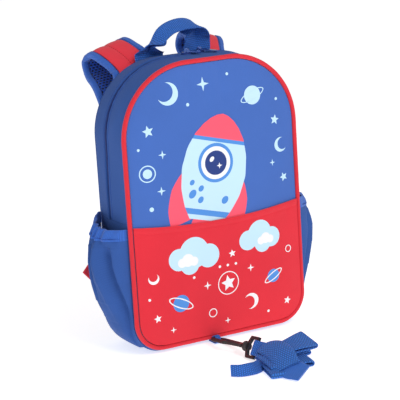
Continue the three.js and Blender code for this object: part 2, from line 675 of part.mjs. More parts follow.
function snapHook() {
  const hook = new THREE.Group();
  hook.position.set(HOOK.x, HOOK.y, HOOK.z);
  const level = V(0, 0, 1).cross(HOOK_AXIS).normalize();
  const across = level.clone().applyAxisAngle(HOOK_AXIS, THREE.MathUtils.degToRad(-HOOK_ROLL));
  hook.setRotationFromMatrix(
    new THREE.Matrix4().makeBasis(HOOK_AXIS, across, V().crossVectors(HOOK_AXIS, across)),
  );
  bag.add(hook);
  const outer = HOOK.radius + HOOK.wire / 2;
  const inner = HOOK.radius - HOOK.wire / 2;
  const outline = new THREE.Shape();
  outline.moveTo(HOOK.radius, outer);
  outline.absarc(HOOK.radius, 0, outer, Math.PI / 2, -Math.PI / 2, false);
  [
    [19, -outer],
    [22, -outer - 2.2],
    [30, -outer - 1.6],
    [33, -7.6],
    [50, -5],
    [HOOK.neck, -HOOK.collar],
    [HOOK.neck + 3, -HOOK.collar],
    [HOOK.neck + 3, HOOK.collar],
    [HOOK.neck - 4, HOOK.collar],
  ].forEach(([x, y]) => outline.lineTo(x, y));
  const hole = new THREE.Path();
  hole.moveTo(HOOK.radius, -inner);
  hole.absarc(HOOK.radius, 0, inner, -Math.PI / 2, -1.5 * Math.PI, true);
  [
    [44, 2.2],
    [48, 0],
    [47, -3],
    [33, -5.4],
    [20, -inner],
  ].forEach(([x, y]) => hole.lineTo(x, y));
  outline.holes.push(hole);
  const frame = new THREE.ExtrudeGeometry(outline, {
    depth: HOOK.thick - 2 * HOOK.bevel,
    bevelThickness: HOOK.bevel,
    bevelSize: HOOK.bevel,
    bevelOffset: -HOOK.bevel,
    bevelSegments: 1,
    curveSegments: 10,
  });
  frame.translate(0, 0, -HOOK.thick / 2 + HOOK.bevel);
  const slit = bar(18.6, -outer - 4, -4, 19.2, -inner + 0.8, 4);
  add("snap_hook", geometryOf(solidOf(frame).subtract(solidOf(slit))), BLACK_PLASTIC, hook);
  // the swivel: a ridged knob on the hook's axis that carries an upright rectangular eye
  const knobRows = [
    { x: HOOK.neck + 3.3, r: 4.6 },
    { x: HOOK.neck + 4.2, r: 5.6 },
    { x: HOOK.neck + 6, r: 5.6 },
    { x: HOOK.neck + 6.6, r: 4.8 },
    { x: HOOK.neck + 7.4, r: 5.4 },
    { x: HOOK.neck + 9.5, r: 4.2 },
  ];
  const profile = [[0, knobRows[0].x], ...knobRows.map((k) => [k.r, k.x]), [0, knobRows.at(-1).x]];
  const knob = new THREE.LatheGeometry(profile.map(([r, x]) => new THREE.Vector2(r, x)), 16);
  knob.rotateZ(-Math.PI / 2);
  const w = EYE.wire;
  const far = EYE.bar + w / 2;
  const ringOutline = [
    [EYE.start - w / 2, -4],
    [EYE.start + 2, -EYE.half - w / 2],
    [far, -EYE.half - w / 2],
    [far, EYE.half + w / 2],
    [EYE.start + 2, EYE.half + w / 2],
    [EYE.start - w / 2, 4],
  ];
  const ringHole = [
    [EYE.start + w / 2, -3.2],
    [EYE.start + 4, -EYE.half + w / 2],
    [EYE.bar - w / 2, -EYE.half + w / 2],
    [EYE.bar - w / 2, EYE.half - w / 2],
    [EYE.start + 4, EYE.half - w / 2],
    [EYE.start + w / 2, 3.2],
  ];
  const eye = plate(ringOutline, [ringHole], w).translate(0, 0, -w / 2);
  const tilt = THREE.MathUtils.degToRad(90 - EYE.tilt + HOOK_ROLL);
  add("hook_swivel", fuse([knob, eye.rotateX(tilt)]), BLACK_PLASTIC, hook);
  const lead = wrapped(Math.SQRT1_2 * w, WEBBING_CLOTH, 21, 2 * EYE.half - w - 1);
  lead.rotateZ(Math.PI / 2).translate(EYE.bar, 0, 0);
  lead.rotateX(Math.PI / 2 + tilt);
  add("leash_lead", lead, WEBBING_BLUE, hook);
}

// The loop of webbing that comes out under the front seam and holds the hook's nose
const TETHER = { width: 6, root: -30.4, low: 0.25, holeHalf: 3.9, holeTall: 3.25 };

function tetherLoop() {
  const outline = new THREE.Shape();
  const top = TETHER.low + 2 * WEBBING_CLOTH + 0.1;
  const centre = { y: HOOK.y - 0.7, z: HOOK.z };
  const long = TETHER.holeHalf + WEBBING_CLOTH;
  const tall = TETHER.holeTall + WEBBING_CLOTH;
  const join = Math.asin((top - centre.z) / tall);
  outline.moveTo(TETHER.root, TETHER.low);
  outline.lineTo(TETHER.root, top);
  outline.lineTo(centre.y + long * Math.cos(join) + 0.2, top);
  outline.absellipse(centre.y, centre.z, long, tall, join, 1.5 * Math.PI, false);
  const hole = new THREE.Path();
  hole.absellipse(centre.y, centre.z, TETHER.holeHalf, TETHER.holeTall, 0, 2 * Math.PI, true);
  outline.holes.push(hole);
  const loop = new THREE.ExtrudeGeometry(outline, { depth: TETHER.width, bevelEnabled: false, curveSegments: 10 });
  // the outline's first direction is the bag's depth and its second is height
  loop.applyMatrix4(new THREE.Matrix4().makeBasis(V(0, 1, 0), V(0, 0, 1), V(1, 0, 0)));
  add("tether_loop", loop.translate(HOOK.x + 0.3 - TETHER.width / 2, 0, 0), WEBBING_BLUE);
}

// The leash, folded up in front of the bag as a bundle of flat folds. Each row of a table is
// a place on a fold's middle line, and a is the direction across the webbing.
const LEASH_FOLDS = {
  leash_band: {
    thick: 3.4,
    rows: [
      { x: -2, y: -142.5, z: 20.8, ax: 0.93, ay: -0.08, az: 0.3 },
      { x: -4, y: -152, z: 20.6, ax: 0.91, ay: 0, az: 0.4 },
      { x: -6, y: -162, z: 19, ax: 0.88, ay: 0.08, az: 0.45 },
      { x: -9, y: -174, z: 14.3, ax: 0.84, ay: 0.22, az: 0.42 },
      { x: -10, y: -184, z: 10.7, ax: 0.82, ay: 0.31, az: 0.42 },
      { x: -6, y: -193, z: 8.2, ax: 0.72, ay: 0.55, az: 0.38 },
      { x: -1.5, y: -200, z: 6.1, ax: 0.67, ay: 0.67, az: 0.33 },
    ],
  },
  leash_fold_upper: {
    thick: LEASH_LAYERS,
    rows: [
      { x: 8, y: -151, z: 16.4, ax: 0.05, ay: 1, az: 0.05 },
      { x: 26, y: -146, z: 16.4, ax: 0.1, ay: 0.96, az: 0.2 },
      { x: 46, y: -137.5, z: 15.4, ax: 0.12, ay: 0.92, az: 0.36 },
    ],
  },
  leash_fold_middle: {
    thick: LEASH_LAYERS - 0.6,
    rows: [
      { x: 3.5, y: -146, z: 10.2, ax: 0.1, ay: 0.99, az: 0 },
      { x: 20, y: -141, z: 10, ax: 0.05, ay: 0.99, az: 0.05 },
      { x: 35, y: -137, z: 9, ax: -0.05, ay: 0.98, az: 0.12 },
    ],
  },
  leash_fold_lower: {
    thick: LEASH_LAYERS,
    rows: [
      { x: -6, y: -141.3, z: 3.4, ax: 0.97, ay: -0.22, az: 0 },
      { x: -11, y: -165, z: 3.4, ax: 0.97, ay: -0.22, az: 0 },
      { x: -14.5, y: -180, z: 3.4, ax: 0.97, ay: -0.22, az: 0 },
    ],
  },
  leash_fold_right: {
    thick: LEASH_LAYERS,
    rows: [
      { x: 4.2, y: -160, z: 3.4, ax: -0.22, ay: 0.97, az: 0 },
      { x: 24, y: -165, z: 3.4, ax: -0.2, ay: 0.97, az: 0 },
    ],
  },
};
const TAIL = {
  tall: 13,
  thick: 3,
  rows: [
    { x: -57, y: -150, z: 6.9, ax: 0, ay: 0.1, az: 1 },
    { x: -50, y: -156.5, z: 6.9, ax: 0, ay: 0.1, az: 1 },
    { x: -40, y: -158.5, z: 6.8, ax: 0, ay: 0.1, az: 1 },
    { x: -31, y: -155.6, z: 6.8, ax: 0, ay: 0.05, az: 1 },
    { x: -21.5, y: -149.2, z: 6.8, ax: 0, ay: 0, az: 1 },
  ],
};

function leash() {
  Object.entries(LEASH_FOLDS).forEach(([name, fold]) => {
    const stations = stationsThrough(fold.rows, 3 * (fold.rows.length - 1));
    const half = fold.thick / 2;
    // both edges of a stack of folds are rounded over a little
    const section = [
      [-LEASH_WIDTH / 2, -half + 0.8],
      [-LEASH_WIDTH / 2 + 1, -half],
      [LEASH_WIDTH / 2 - 1, -half],
      [LEASH_WIDTH / 2, -half + 0.8],
      [LEASH_WIDTH / 2, half - 0.8],
      [LEASH_WIDTH / 2 - 1, half],
      [-LEASH_WIDTH / 2 + 1, half],
      [-LEASH_WIDTH / 2, half - 0.8],
    ];
    add(name, sweep(stations, () => section), WEBBING_BLUE);
  });
  const tail = stationsThrough(TAIL.rows, 12);
  add("leash_tail", sweep(tail, () => strip(TAIL.tall, -TAIL.thick / 2, TAIL.thick / 2)), WEBBING_BLUE);
}

// The bag's own pieces
add("front_panel", frontPanel(), BLUE);
add("front_pocket", frontPocket(), RED);
add("front_piping", piping(), RED);
add("front_zip_band", gussetStrip(upperRun, [-31.7, -22, -10, ZIP_FRONT - GAP], 0, WALL), BLUE);
add("zip_tape", gussetStrip(upperRun, [ZIP_FRONT, ZIP_BACK], ZIP_SUNK, TAPE_WALL), DARK_BLUE);
add("rear_zip_band", gussetStrip(upperRun, [ZIP_BACK + GAP, 20, HALF_D - GAP], 0, WALL), BLUE);
add(
  "lower_gusset",
  gussetStrip(lowerRun, [-31.7, -BASE_FLAT_HALF, -10, 10, BASE_FLAT_HALF, HALF_D - GAP], 0, WALL),
  BLUE,
);
add("back_panel", backPanel(), BLUE);
[
  { sign: -1, name: "left" },
  { sign: 1, name: "right" },
].forEach(({ sign, name }) => {
  const cloth = [0, 5, 12, 30, 50, 74, 95, 102, 109, 116, 123].map((drop) => ({ drop }));
  cloth[0].sag = 4;
  cloth[0].tilt = 4;
  cloth[1].sag = 3;
  cloth[1].tilt = 3;
  add("side_pocket_" + name, sidePocket(sign, cloth, SIDE_CLOTH), BLUE);
  const band = [-BINDING_HEIGHT, -GAP].map((drop) => ({ drop, sag: 4, tilt: 4 }));
  add("pocket_binding_" + name, sidePocket(sign, band, BINDING_CLOTH), WEBBING_BLUE);
  strapPieces(sign, name);
});
add("grab_handle", grabHandle(), WEBBING_BLUE);
[
  { sign: -1, name: "left" },
  { sign: 1, name: "right" },
].forEach(({ sign, name }) => lowerStrap(sign, name));
zipSlider(SLIDER.left, "left", PULL_LENGTHS.left);
zipSlider(SLIDER.right, "right", PULL_LENGTHS.right);
tetherLoop();
snapHook();
leash();

export default bag;
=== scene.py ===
# A toddler's harness backpack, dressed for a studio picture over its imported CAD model.
# %% [markdown]
# # The frame
# The bag's rigid and soft solids come from the CAD model, already in metres and in place.
# Everything below is sewn over them: each cloth piece is a surface worked out from the same
# sizes, and it takes the place of one plain solid. The box of the CAD model is noted first.

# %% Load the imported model
import json
import math
import bpy
import numpy as np
from mathutils import Matrix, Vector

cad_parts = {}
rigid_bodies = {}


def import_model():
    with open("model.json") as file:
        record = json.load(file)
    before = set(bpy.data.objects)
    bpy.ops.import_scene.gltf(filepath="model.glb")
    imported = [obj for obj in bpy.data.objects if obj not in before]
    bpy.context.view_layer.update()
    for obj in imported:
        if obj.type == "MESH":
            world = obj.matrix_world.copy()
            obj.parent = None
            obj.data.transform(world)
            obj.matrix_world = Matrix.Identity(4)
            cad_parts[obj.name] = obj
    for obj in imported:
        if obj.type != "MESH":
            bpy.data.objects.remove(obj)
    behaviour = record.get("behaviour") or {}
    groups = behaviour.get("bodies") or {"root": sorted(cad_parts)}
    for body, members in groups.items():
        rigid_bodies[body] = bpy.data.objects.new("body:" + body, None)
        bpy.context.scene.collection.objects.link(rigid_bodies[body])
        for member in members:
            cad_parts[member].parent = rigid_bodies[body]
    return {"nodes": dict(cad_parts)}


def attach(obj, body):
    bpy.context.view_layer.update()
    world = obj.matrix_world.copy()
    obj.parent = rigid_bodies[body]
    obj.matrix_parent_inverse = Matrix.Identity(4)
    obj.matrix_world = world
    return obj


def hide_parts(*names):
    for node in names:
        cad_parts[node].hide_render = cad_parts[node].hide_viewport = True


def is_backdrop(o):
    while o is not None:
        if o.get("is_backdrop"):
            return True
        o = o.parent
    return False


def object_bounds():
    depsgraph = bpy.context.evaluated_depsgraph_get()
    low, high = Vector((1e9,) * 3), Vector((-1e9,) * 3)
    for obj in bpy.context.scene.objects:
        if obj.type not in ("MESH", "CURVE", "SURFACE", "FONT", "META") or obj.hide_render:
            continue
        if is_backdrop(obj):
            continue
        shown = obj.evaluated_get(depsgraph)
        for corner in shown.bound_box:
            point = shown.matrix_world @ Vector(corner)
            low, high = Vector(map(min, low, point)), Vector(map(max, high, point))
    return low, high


for leftover in list(bpy.data.objects):
    bpy.data.objects.remove(leftover)
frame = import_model()
cad_box = [list(corner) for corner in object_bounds()]
MM = 0.001
print("CAD box", [[round(v, 4) for v in corner] for corner in cad_box])

# %% [markdown]
# # Camera
# The picture was taken from a little to the left and above, with a long lens held slightly
# turned. The camera looks along a fixed direction and is rolled about it, with no lens shift.

# %% Camera at the photograph's angle
AZIMUTH, ELEVATION, ROLL = math.radians(-28.098), math.radians(12.638), math.radians(3.614)
DISTANCE = 1.8
FOCAL_PIXELS, PICTURE_PIXELS, SENSOR = 1665, 400, 36
AIM_HEIGHT, AIM_RIGHT, AIM_DOWN = 0.156, 0.00057, 0.00661
level = math.cos(ELEVATION)
back = np.array([math.sin(AZIMUTH) * level, -math.cos(AZIMUTH) * level, math.sin(ELEVATION)])
right = np.array([math.cos(AZIMUTH), math.sin(AZIMUTH), 0])
up = np.cross(back, right)
cam_right = right * math.cos(ROLL) - up * math.sin(ROLL)
cam_up = right * math.sin(ROLL) + up * math.cos(ROLL)
aim = np.array([0, 0, AIM_HEIGHT]) + cam_right * AIM_RIGHT - cam_up * AIM_DOWN
camera_data = bpy.data.cameras.new("camera")
camera_data.sensor_width = SENSOR
camera_data.lens = SENSOR * FOCAL_PIXELS / PICTURE_PIXELS
eye = aim + back * DISTANCE


def add_object(name, data):
    """A new object in the scene that shows the given data."""
    thing = bpy.data.objects.new(name, data)
    bpy.context.scene.collection.objects.link(thing)
    return thing


def frame_matrix(right_way, up_way, back_way, place):
    """The place and the three axes of a camera or a lamp, as one matrix."""
    columns = (right_way, up_way, back_way, place)
    return Matrix([[column[k] for column in columns] for k in range(3)] + [[0, 0, 0, 1]])


camera = add_object("camera", camera_data)
camera.matrix_world = frame_matrix(cam_right, cam_up, back, eye)
bpy.context.scene.camera = camera
print("camera stands at", np.round(eye, 3))

# %% [markdown]
# # How the pieces are made
# Cloth is a thin wall. Each piece here is a grid of points that a formula places in space,
# once for its outer face and once for its inner face, joined round the edges into one closed
# body. The same grid carries the cloth's own flat coordinates in millimetres, so that a weave
# follows the fabric round every bend.

# %% Grids of points to closed meshes
def unit(v):
    """Each vector divided by its own length."""
    return v / np.maximum(np.linalg.norm(v, axis=-1, keepdims=True), 1e-9)


def facing_out(points, faces, corners):
    """The same closed body with its faces turned outwards: its signed volume has to be above 0."""
    a, b, c, d = (points[faces[:, k]] for k in range(4))
    volume = np.einsum("ij,ij->", a, np.cross(b, c)) + np.einsum("ij,ij->", a, np.cross(c, d))
    return (points, faces[:, ::-1], corners[:, ::-1]) if volume < 0 else (points, faces, corners)


def make_piece(name, points, faces, corners, finish, slot, nodes=(), crease=40):
    """A mesh of points in mm and of quads, with the cloth's mm at each face corner, facing outwards."""
    points, faces, corners = facing_out(np.asarray(points, float), np.asarray(faces), corners)
    mesh = bpy.data.meshes.new(name)
    mesh.from_pydata((points * MM).tolist(), [], faces.tolist())
    flat = mesh.uv_layers.new(name="cloth")
    flat.data.foreach_set("uv", np.asarray(corners, np.float32).reshape(-1))
    mesh.polygons.foreach_set("use_smooth", np.ones(len(faces), bool))
    mesh.set_sharp_from_angle(angle=math.radians(crease))
    mesh.materials.append(finish)
    mesh.validate()
    piece = add_object(name, mesh)
    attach(piece, "bag")
    if nodes:
        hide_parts(*nodes)
    print(f"{name}: {len(faces)} faces")
    return piece


def quads(rows, columns, ring=False, start=0):
    """Corner numbers of the cells of a grid whose rows may close on themselves."""
    i = np.arange(rows if ring else rows - 1)[:, None]
    j = np.arange(columns - 1)[None, :]
    n = (i + 1) % rows
    cells = np.stack([i * columns + j, n * columns + j, n * columns + j + 1, i * columns + j + 1], -1)
    return cells.reshape(-1, 4) + start


def cell_corners(flat):
    """The cloth coordinates at the four corners of every cell; a ring has one more row of them."""
    return np.stack([flat[:-1, :-1], flat[1:, :-1], flat[1:, 1:], flat[:-1, 1:]], 2).reshape(-1, 4, 2)


def wall_arrays(outer, inner, flat, ring=False):
    """Two grids of one size joined along their edges: points, faces and the cloth's mm at each corner."""
    rows, columns = outer.shape[:2]
    size = rows * columns
    points = np.concatenate([outer.reshape(-1, 3), inner.reshape(-1, 3)])
    near = quads(rows, columns, ring)
    far = quads(rows, columns, ring, size)[:, ::-1]
    corners = [cell_corners(flat), cell_corners(flat)[:, ::-1]]
    faces = [near, far]

    def rim(line, line_flat, flip):
        first, second = line[:-1], line[1:]
        edge = np.stack([first, first + size, second + size, second], -1)
        value = np.stack([line_flat[:-1], line_flat[:-1], line_flat[1:], line_flat[1:]], 1)
        faces.append(edge[:, ::-1] if flip else edge)
        corners.append(value[:, ::-1] if flip else value)

    rows_line = np.arange(rows + 1) % rows if ring else np.arange(rows)
    used = flat if ring else flat[:rows]
    rim(rows_line * columns, used[:, 0], False)
    rim(rows_line * columns + columns - 1, used[:, -1], True)
    if not ring:
        rim(np.arange(columns), flat[0], True)
        rim(np.arange(columns) + (rows - 1) * columns, flat[rows - 1], False)
    return facing_out(points, np.concatenate(faces), np.concatenate(corners))


def cloth_wall(name, outer, inner, flat, finish, slot, nodes=(), ring=False, crease=40):
    """A closed wall between two grids, as a piece."""
    return make_piece(name, *wall_arrays(outer, inner, flat, ring), finish, slot, nodes, crease)


def tube(name, sections, flat, finish, slot, nodes=(), closed=False):
    """Rings of points, one after another along a path, as one closed body; a run's ends get a flat fan."""
    rows, around = sections.shape[:2]
    i = np.arange(rows if closed else rows - 1)[:, None]
    j = np.arange(around)[None, :]
    n, m = (i + 1) % rows, (j + 1) % around
    faces = [np.stack([i * around + j, n * around + j, n * around + m, i * around + m], -1).reshape(-1, 4)]
    corners = [cell_corners(flat)]
    points = sections.reshape(-1, 3)
    if not closed:
        for row, flip in ((0, False), (rows - 1, True)):
            centre = len(points)
            points = np.concatenate([points, sections[row].mean(0)[None]])
            ring = row * around + np.arange(around)
            pairs = np.arange(0, around, 2)
            rest = [ring[(pairs + k) % around] for k in range(3)]
            fan = np.stack([np.full(len(pairs), centre), *rest], -1)
            value = np.repeat(flat[row].mean(0)[None, None], len(pairs), 0).repeat(4, 1)
            faces.append(fan[:, ::-1] if flip else fan)
            corners.append(value)
    faces, corners = np.concatenate(faces), np.concatenate(corners)
    return make_piece(name, points, faces, corners, finish, slot, nodes)


def lengths_along(points):
    """Distance run along a line of points, starting at 0."""
    return np.concatenate([[0], np.cumsum(np.linalg.norm(np.diff(points, axis=0), axis=1))])


# %% [markdown]
# # Cloth finishes
# The bag is printed polyester, piping cord, ribbed tape, honeycomb webbing and air mesh. Each
# of these is a small pattern in the cloth's own millimetres. The patterns are node groups, so
# one weave serves the blue panel and the red pocket with other colours and thread sizes.

# %% Small helpers for shader nodes
def new_group(name, inputs, outputs):
    """An empty shader node group with named sockets; vectors and colours are told by their value."""
    group = bpy.data.node_groups.new(name, "ShaderNodeTree")
    kinds = {1: "NodeSocketFloat", 3: "NodeSocketVector", 4: "NodeSocketColor"}
    for label, value in inputs.items():
        size = len(value) if hasattr(value, "__len__") else 1
        socket = group.interface.new_socket(name=label, in_out="INPUT", socket_type=kinds[size])
        socket.default_value = value
    for label in outputs:
        group.interface.new_socket(name=label, in_out="OUTPUT", socket_type="NodeSocketFloat")
    return group, group.nodes.new("NodeGroupInput"), group.nodes.new("NodeGroupOutput")


def plug(tree, socket, value):
    """Links value to the socket if it is another socket, and sets it otherwise."""
    if isinstance(value, bpy.types.NodeSocket):
        tree.links.new(value, socket)
    else:
        socket.default_value = value


def calc(tree, operation, *values):
    """One Math node; gives its output."""
    node = tree.nodes.new("ShaderNodeMath")
    node.operation = operation
    for socket, value in zip(node.inputs, values):
        plug(tree, socket, value)
    return node.outputs[0]


def wave(tree, value, period):
    """Sine of value over a period, between -1 and 1."""
    turns = calc(tree, "DIVIDE", value, period)
    return calc(tree, "SINE", calc(tree, "MULTIPLY", turns, 2 * math.pi))


# %% Pattern groups: weave, honeycomb webbing, ribs and air mesh
def split(tree, vector):
    node = tree.nodes.new("ShaderNodeSeparateXYZ")
    tree.links.new(vector, node.inputs[0])
    return node.outputs[0], node.outputs[1]


weave, start, end = new_group("weave", {"Cloth": (0, 0, 0), "Pitch": 0.7, "Slant": 0.6}, ["Height"])
u, v = split(weave, start.outputs["Cloth"])
pitch = start.outputs["Pitch"]
plain = calc(weave, "MULTIPLY", wave(weave, u, pitch), wave(weave, v, pitch))
diagonal = wave(weave, calc(weave, "ADD", u, v), calc(weave, "MULTIPLY", pitch, 2.0))
both = calc(weave, "ADD", plain, calc(weave, "MULTIPLY", diagonal, start.outputs["Slant"]))
plug(weave, end.inputs["Height"], calc(weave, "MULTIPLY_ADD", both, 0.31, 0.5))


def arches(tree, value):
    """One arch between 0 and 1 for each whole step of value."""
    return calc(tree, "ABSOLUTE", calc(tree, "SINE", calc(tree, "MULTIPLY", value, math.pi)))


honeycomb, start, end = new_group("honeycomb", {"Cloth": (0, 0, 0), "Pitch": 2.1}, ["Height"])
u, v = split(honeycomb, start.outputs["Cloth"])
across = calc(honeycomb, "DIVIDE", u, start.outputs["Pitch"])
along = calc(honeycomb, "DIVIDE", v, start.outputs["Pitch"])
shifted = calc(honeycomb, "MULTIPLY_ADD", calc(honeycomb, "FLOOR", along), 0.5, across)
ridges = [arches(honeycomb, steps) for steps in (shifted, along)]
cell = calc(honeycomb, "POWER", calc(honeycomb, "MULTIPLY", *ridges), 0.55)
plug(honeycomb, end.inputs["Height"], cell)

ribs, start, end = new_group("ribs", {"Cloth": (0, 0, 0), "Pitch": 1.3}, ["Height"])
u, v = split(ribs, start.outputs["Cloth"])
rib = arches(ribs, calc(ribs, "DIVIDE", v, start.outputs["Pitch"]))
grain = calc(ribs, "MULTIPLY_ADD", wave(ribs, u, 0.55), 0.12, calc(ribs, "POWER", rib, 0.6))
plug(ribs, end.inputs["Height"], grain)

air_mesh, start, end = new_group("air mesh", {"Cloth": (0, 0, 0), "Pitch": 3.4}, ["Height"])
u, v = split(air_mesh, start.outputs["Cloth"])
pitch = start.outputs["Pitch"]
row = calc(air_mesh, "DIVIDE", v, calc(air_mesh, "MULTIPLY", pitch, 0.8))
shares_u = calc(air_mesh, "DIVIDE", u, pitch)
column = calc(air_mesh, "MULTIPLY_ADD", calc(air_mesh, "FLOOR", row), 0.5, shares_u)
du = calc(air_mesh, "SUBTRACT", calc(air_mesh, "FRACT", column), 0.5)
dv = calc(air_mesh, "SUBTRACT", calc(air_mesh, "FRACT", row), 0.5)
squares = [calc(air_mesh, "MULTIPLY", d, d) for d in (du, dv)]
reach = calc(air_mesh, "SQRT", calc(air_mesh, "ADD", *squares))
edge = calc(air_mesh, "MULTIPLY_ADD", reach, 6.0, -1.35)
edge.node.use_clamp = True
plug(air_mesh, end.inputs["Height"], edge)
print("pattern groups:", [g.name for g in bpy.data.node_groups])

# %% [markdown]
# # Colour of the thread
# Dyed cloth is never one flat colour: the dye clouds a little over a hand's width. Thread tops
# catch light and the gaps between threads stay dark, and that shade is painted into the colour
# here. One group turns a pattern's height and a slow noise into a factor that multiplies the dye: painted shade
# in the gaps and a cloud of dye.

# %% The shade group and the cloth material
def place_noise(tree, start):
    """A noise over the group's Place, at the scale that its Size gives."""
    noise = tree.nodes.new("ShaderNodeTexNoise")
    plug(tree, noise.inputs["Vector"], start.outputs["Place"])
    plug(tree, noise.inputs["Scale"], start.outputs["Size"])
    return noise


shade_group, start, end = new_group(
    "thread shade", {"Place": (0, 0, 0), "Height": 0.5, "Gap": 0.3, "Cloud": 0.08, "Size": 18.0}, ["Shade"]
)
noise = place_noise(shade_group, start)
noise.inputs["Detail"].default_value = 3
# for cloth this is painted shade: the gaps between threads and the holes of a mesh lie low in the pattern and
# are darkened by Gap
depth = calc(shade_group, "SUBTRACT", 1.0, start.outputs["Height"])
low = calc(shade_group, "MULTIPLY", depth, start.outputs["Gap"])
drift = calc(shade_group, "SUBTRACT", noise.outputs["Fac"], 0.5)
cloud = calc(shade_group, "MULTIPLY", drift, start.outputs["Cloud"])
total = calc(shade_group, "SUBTRACT", calc(shade_group, "MULTIPLY_ADD", cloud, 2.0, 1.0), low)
plug(shade_group, end.inputs["Shade"], total)


def linear(red, green, blue):
    """Screen values from 0 to 255 as light, by the sRGB curve."""
    c = np.array([red, green, blue]) / 255
    return [float(v) for v in np.where(c <= 0.04045, c / 12.92, ((c + 0.055) / 1.055) ** 2.4)] + [1.0]


def material_base(name, roughness):
    material = bpy.data.materials.new(name)
    material.use_nodes = True
    tree = material.node_tree
    shader = tree.nodes["Principled BSDF"]
    shader.inputs["Roughness"].default_value = roughness
    return material, tree, shader


def add_group(tree, group, **values):
    """A copy of a node group in a material, with its sockets linked or set by name."""
    node = tree.nodes.new("ShaderNodeGroup")
    node.node_tree = group
    for label, value in values.items():
        plug(tree, node.inputs[label], value)
    return node


def dye(tree, shader, colour, shade):
    """Base colour = the dye's colour times the shade."""
    mixed = tree.nodes.new("ShaderNodeMix")
    mixed.data_type = "RGBA"
    mixed.blend_type = "MULTIPLY"
    mixed.inputs["Factor"].default_value = 1.0
    sockets = [s for s in mixed.inputs if s.type == "RGBA"]
    sockets[0].default_value = colour
    tree.links.new(shade, sockets[1])
    tree.links.new([s for s in mixed.outputs if s.type == "RGBA"][0], shader.inputs["Base Color"])


def relief_bump(tree, shader, height, relief):
    """A height pattern as bump, relief mm deep."""
    bump = tree.nodes.new("ShaderNodeBump")
    bump.inputs["Distance"].default_value = relief * MM
    tree.links.new(height, bump.inputs["Height"])
    tree.links.new(bump.outputs[0], shader.inputs["Normal"])


def cloth(name, colour, pattern, pitch, gap=0.3, cloud=0.08, relief=0.12, roughness=0.85, sheen=0.2, **extra):
    """Dyed cloth: pattern, thread pitch in mm, how dark the gaps are and the relief in mm."""
    material, tree, shader = material_base(name, roughness)
    flat = tree.nodes.new("ShaderNodeUVMap")
    flat.uv_map = "cloth"
    place = tree.nodes.new("ShaderNodeTexCoord").outputs["Object"]
    threads = add_group(tree, pattern, Cloth=flat.outputs[0], Pitch=pitch, **extra).outputs[0]
    shade = add_group(tree, shade_group, Place=place, Height=threads, Gap=gap, Cloud=cloud).outputs[0]
    dye(tree, shader, linear(*colour), shade)
    relief_bump(tree, shader, threads, relief)
    shader.inputs["Sheen Weight"].default_value = sheen
    shader.inputs["Specular IOR Level"].default_value = 0.25
    return material

# %% Materials of the bag
panel_cloth = cloth("panel_cloth", (70, 112, 196), weave, 0.8, gap=0.22, relief=0.08)
side_cloth = cloth("side_cloth", (54, 94, 170), weave, 0.8, gap=0.3, cloud=0.16, relief=0.1, sheen=0.04)
pocket_cloth = cloth("pocket_cloth", (232, 44, 60), weave, 0.8, gap=0.16, relief=0.08)
strap_cloth = cloth("strap_cloth", (240, 56, 72), weave, 0.8, gap=0.14, relief=0.1)
cord_cloth = cloth("cord_cloth", (226, 44, 60), weave, 0.7, gap=0.14, relief=0.06, Slant=1.0)
webbing = cloth("webbing", (62, 128, 226), honeycomb, 2.6, gap=0.75, relief=0.6, roughness=0.8, sheen=0.08)
handle_webbing = cloth(
    "handle_webbing", (60, 122, 222), honeycomb, 2.1, gap=0.7, relief=0.5, roughness=0.8, sheen=0.08
)
flap_webbing = cloth("flap_webbing", (56, 112, 204), weave, 1.1, gap=0.3, relief=0.12, roughness=0.8)
binding_tape = cloth("binding_tape", (56, 106, 200), ribs, 1.2, gap=0.34, relief=0.2, roughness=0.8)
# the air mesh's holes are darkened almost to black by Gap 0.93: painted shade inside each hole
lining_mesh = cloth("lining_mesh", (40, 84, 184), air_mesh, 4.2, gap=0.93, relief=0.7, roughness=0.9)
zip_tape_cloth = cloth("zip_tape_cloth", (40, 66, 142), ribs, 0.8, gap=0.5, relief=0.1)
zip_coil = cloth("zip_coil", (30, 54, 130), ribs, 0.5, gap=0.2, relief=0.02, roughness=0.45, sheen=0)
blue_thread = cloth("blue_thread", (36, 70, 158), ribs, 0.4, gap=0.35, relief=0.03, sheen=0.1)
red_thread = cloth("red_thread", (176, 26, 40), ribs, 0.4, gap=0.35, relief=0.03, sheen=0.1)

# %% [markdown]
# # The outline
# Seen from the front the bag is an upright shape with big round shoulders and small round
# lower corners. One line runs once round it. Every cloth piece of the shell is placed from a
# distance along this line, which keeps seams, piping and zip in step with each other.

# %% Sizes of the shell and the line round it
HALF_W, HALF_D, SEAM_LOW, SEAM_TOP = 102.5, 34.5, 6.0, 305.7
TOP_RADIUS, LOW_RADIUS, SEAM_Z = 77.0, 31.0, 144.0
TOP_X, LOW_X = HALF_W - TOP_RADIUS, HALF_W - LOW_RADIUS
HIGH_Z, LOW_Z = SEAM_TOP - TOP_RADIUS, SEAM_LOW + LOW_RADIUS
MID_Z = (SEAM_LOW + SEAM_TOP) / 2
SIDE_SWELL, FRONT_DOME, BASE_FLAT = 2.2, 8, 24


def corner_arc(x, z, radius, first, last, count=160):
    """Points on a quarter circle: centre plus radius times the cosine and sine of the angle."""
    a = np.radians(np.linspace(first, last, count))
    return np.stack([x + radius * np.cos(a), z + radius * np.sin(a), np.cos(a), np.sin(a)], -1)


def straight(x0, z0, x1, z1, nx, nz, count=160):
    """Points on a straight run with one outward direction."""
    t = np.linspace(0, 1, count)[:, None]
    start, end = np.array([x0, z0, nx, nz]), np.array([x1, z1, nx, nz])
    return start + (end - start) * t


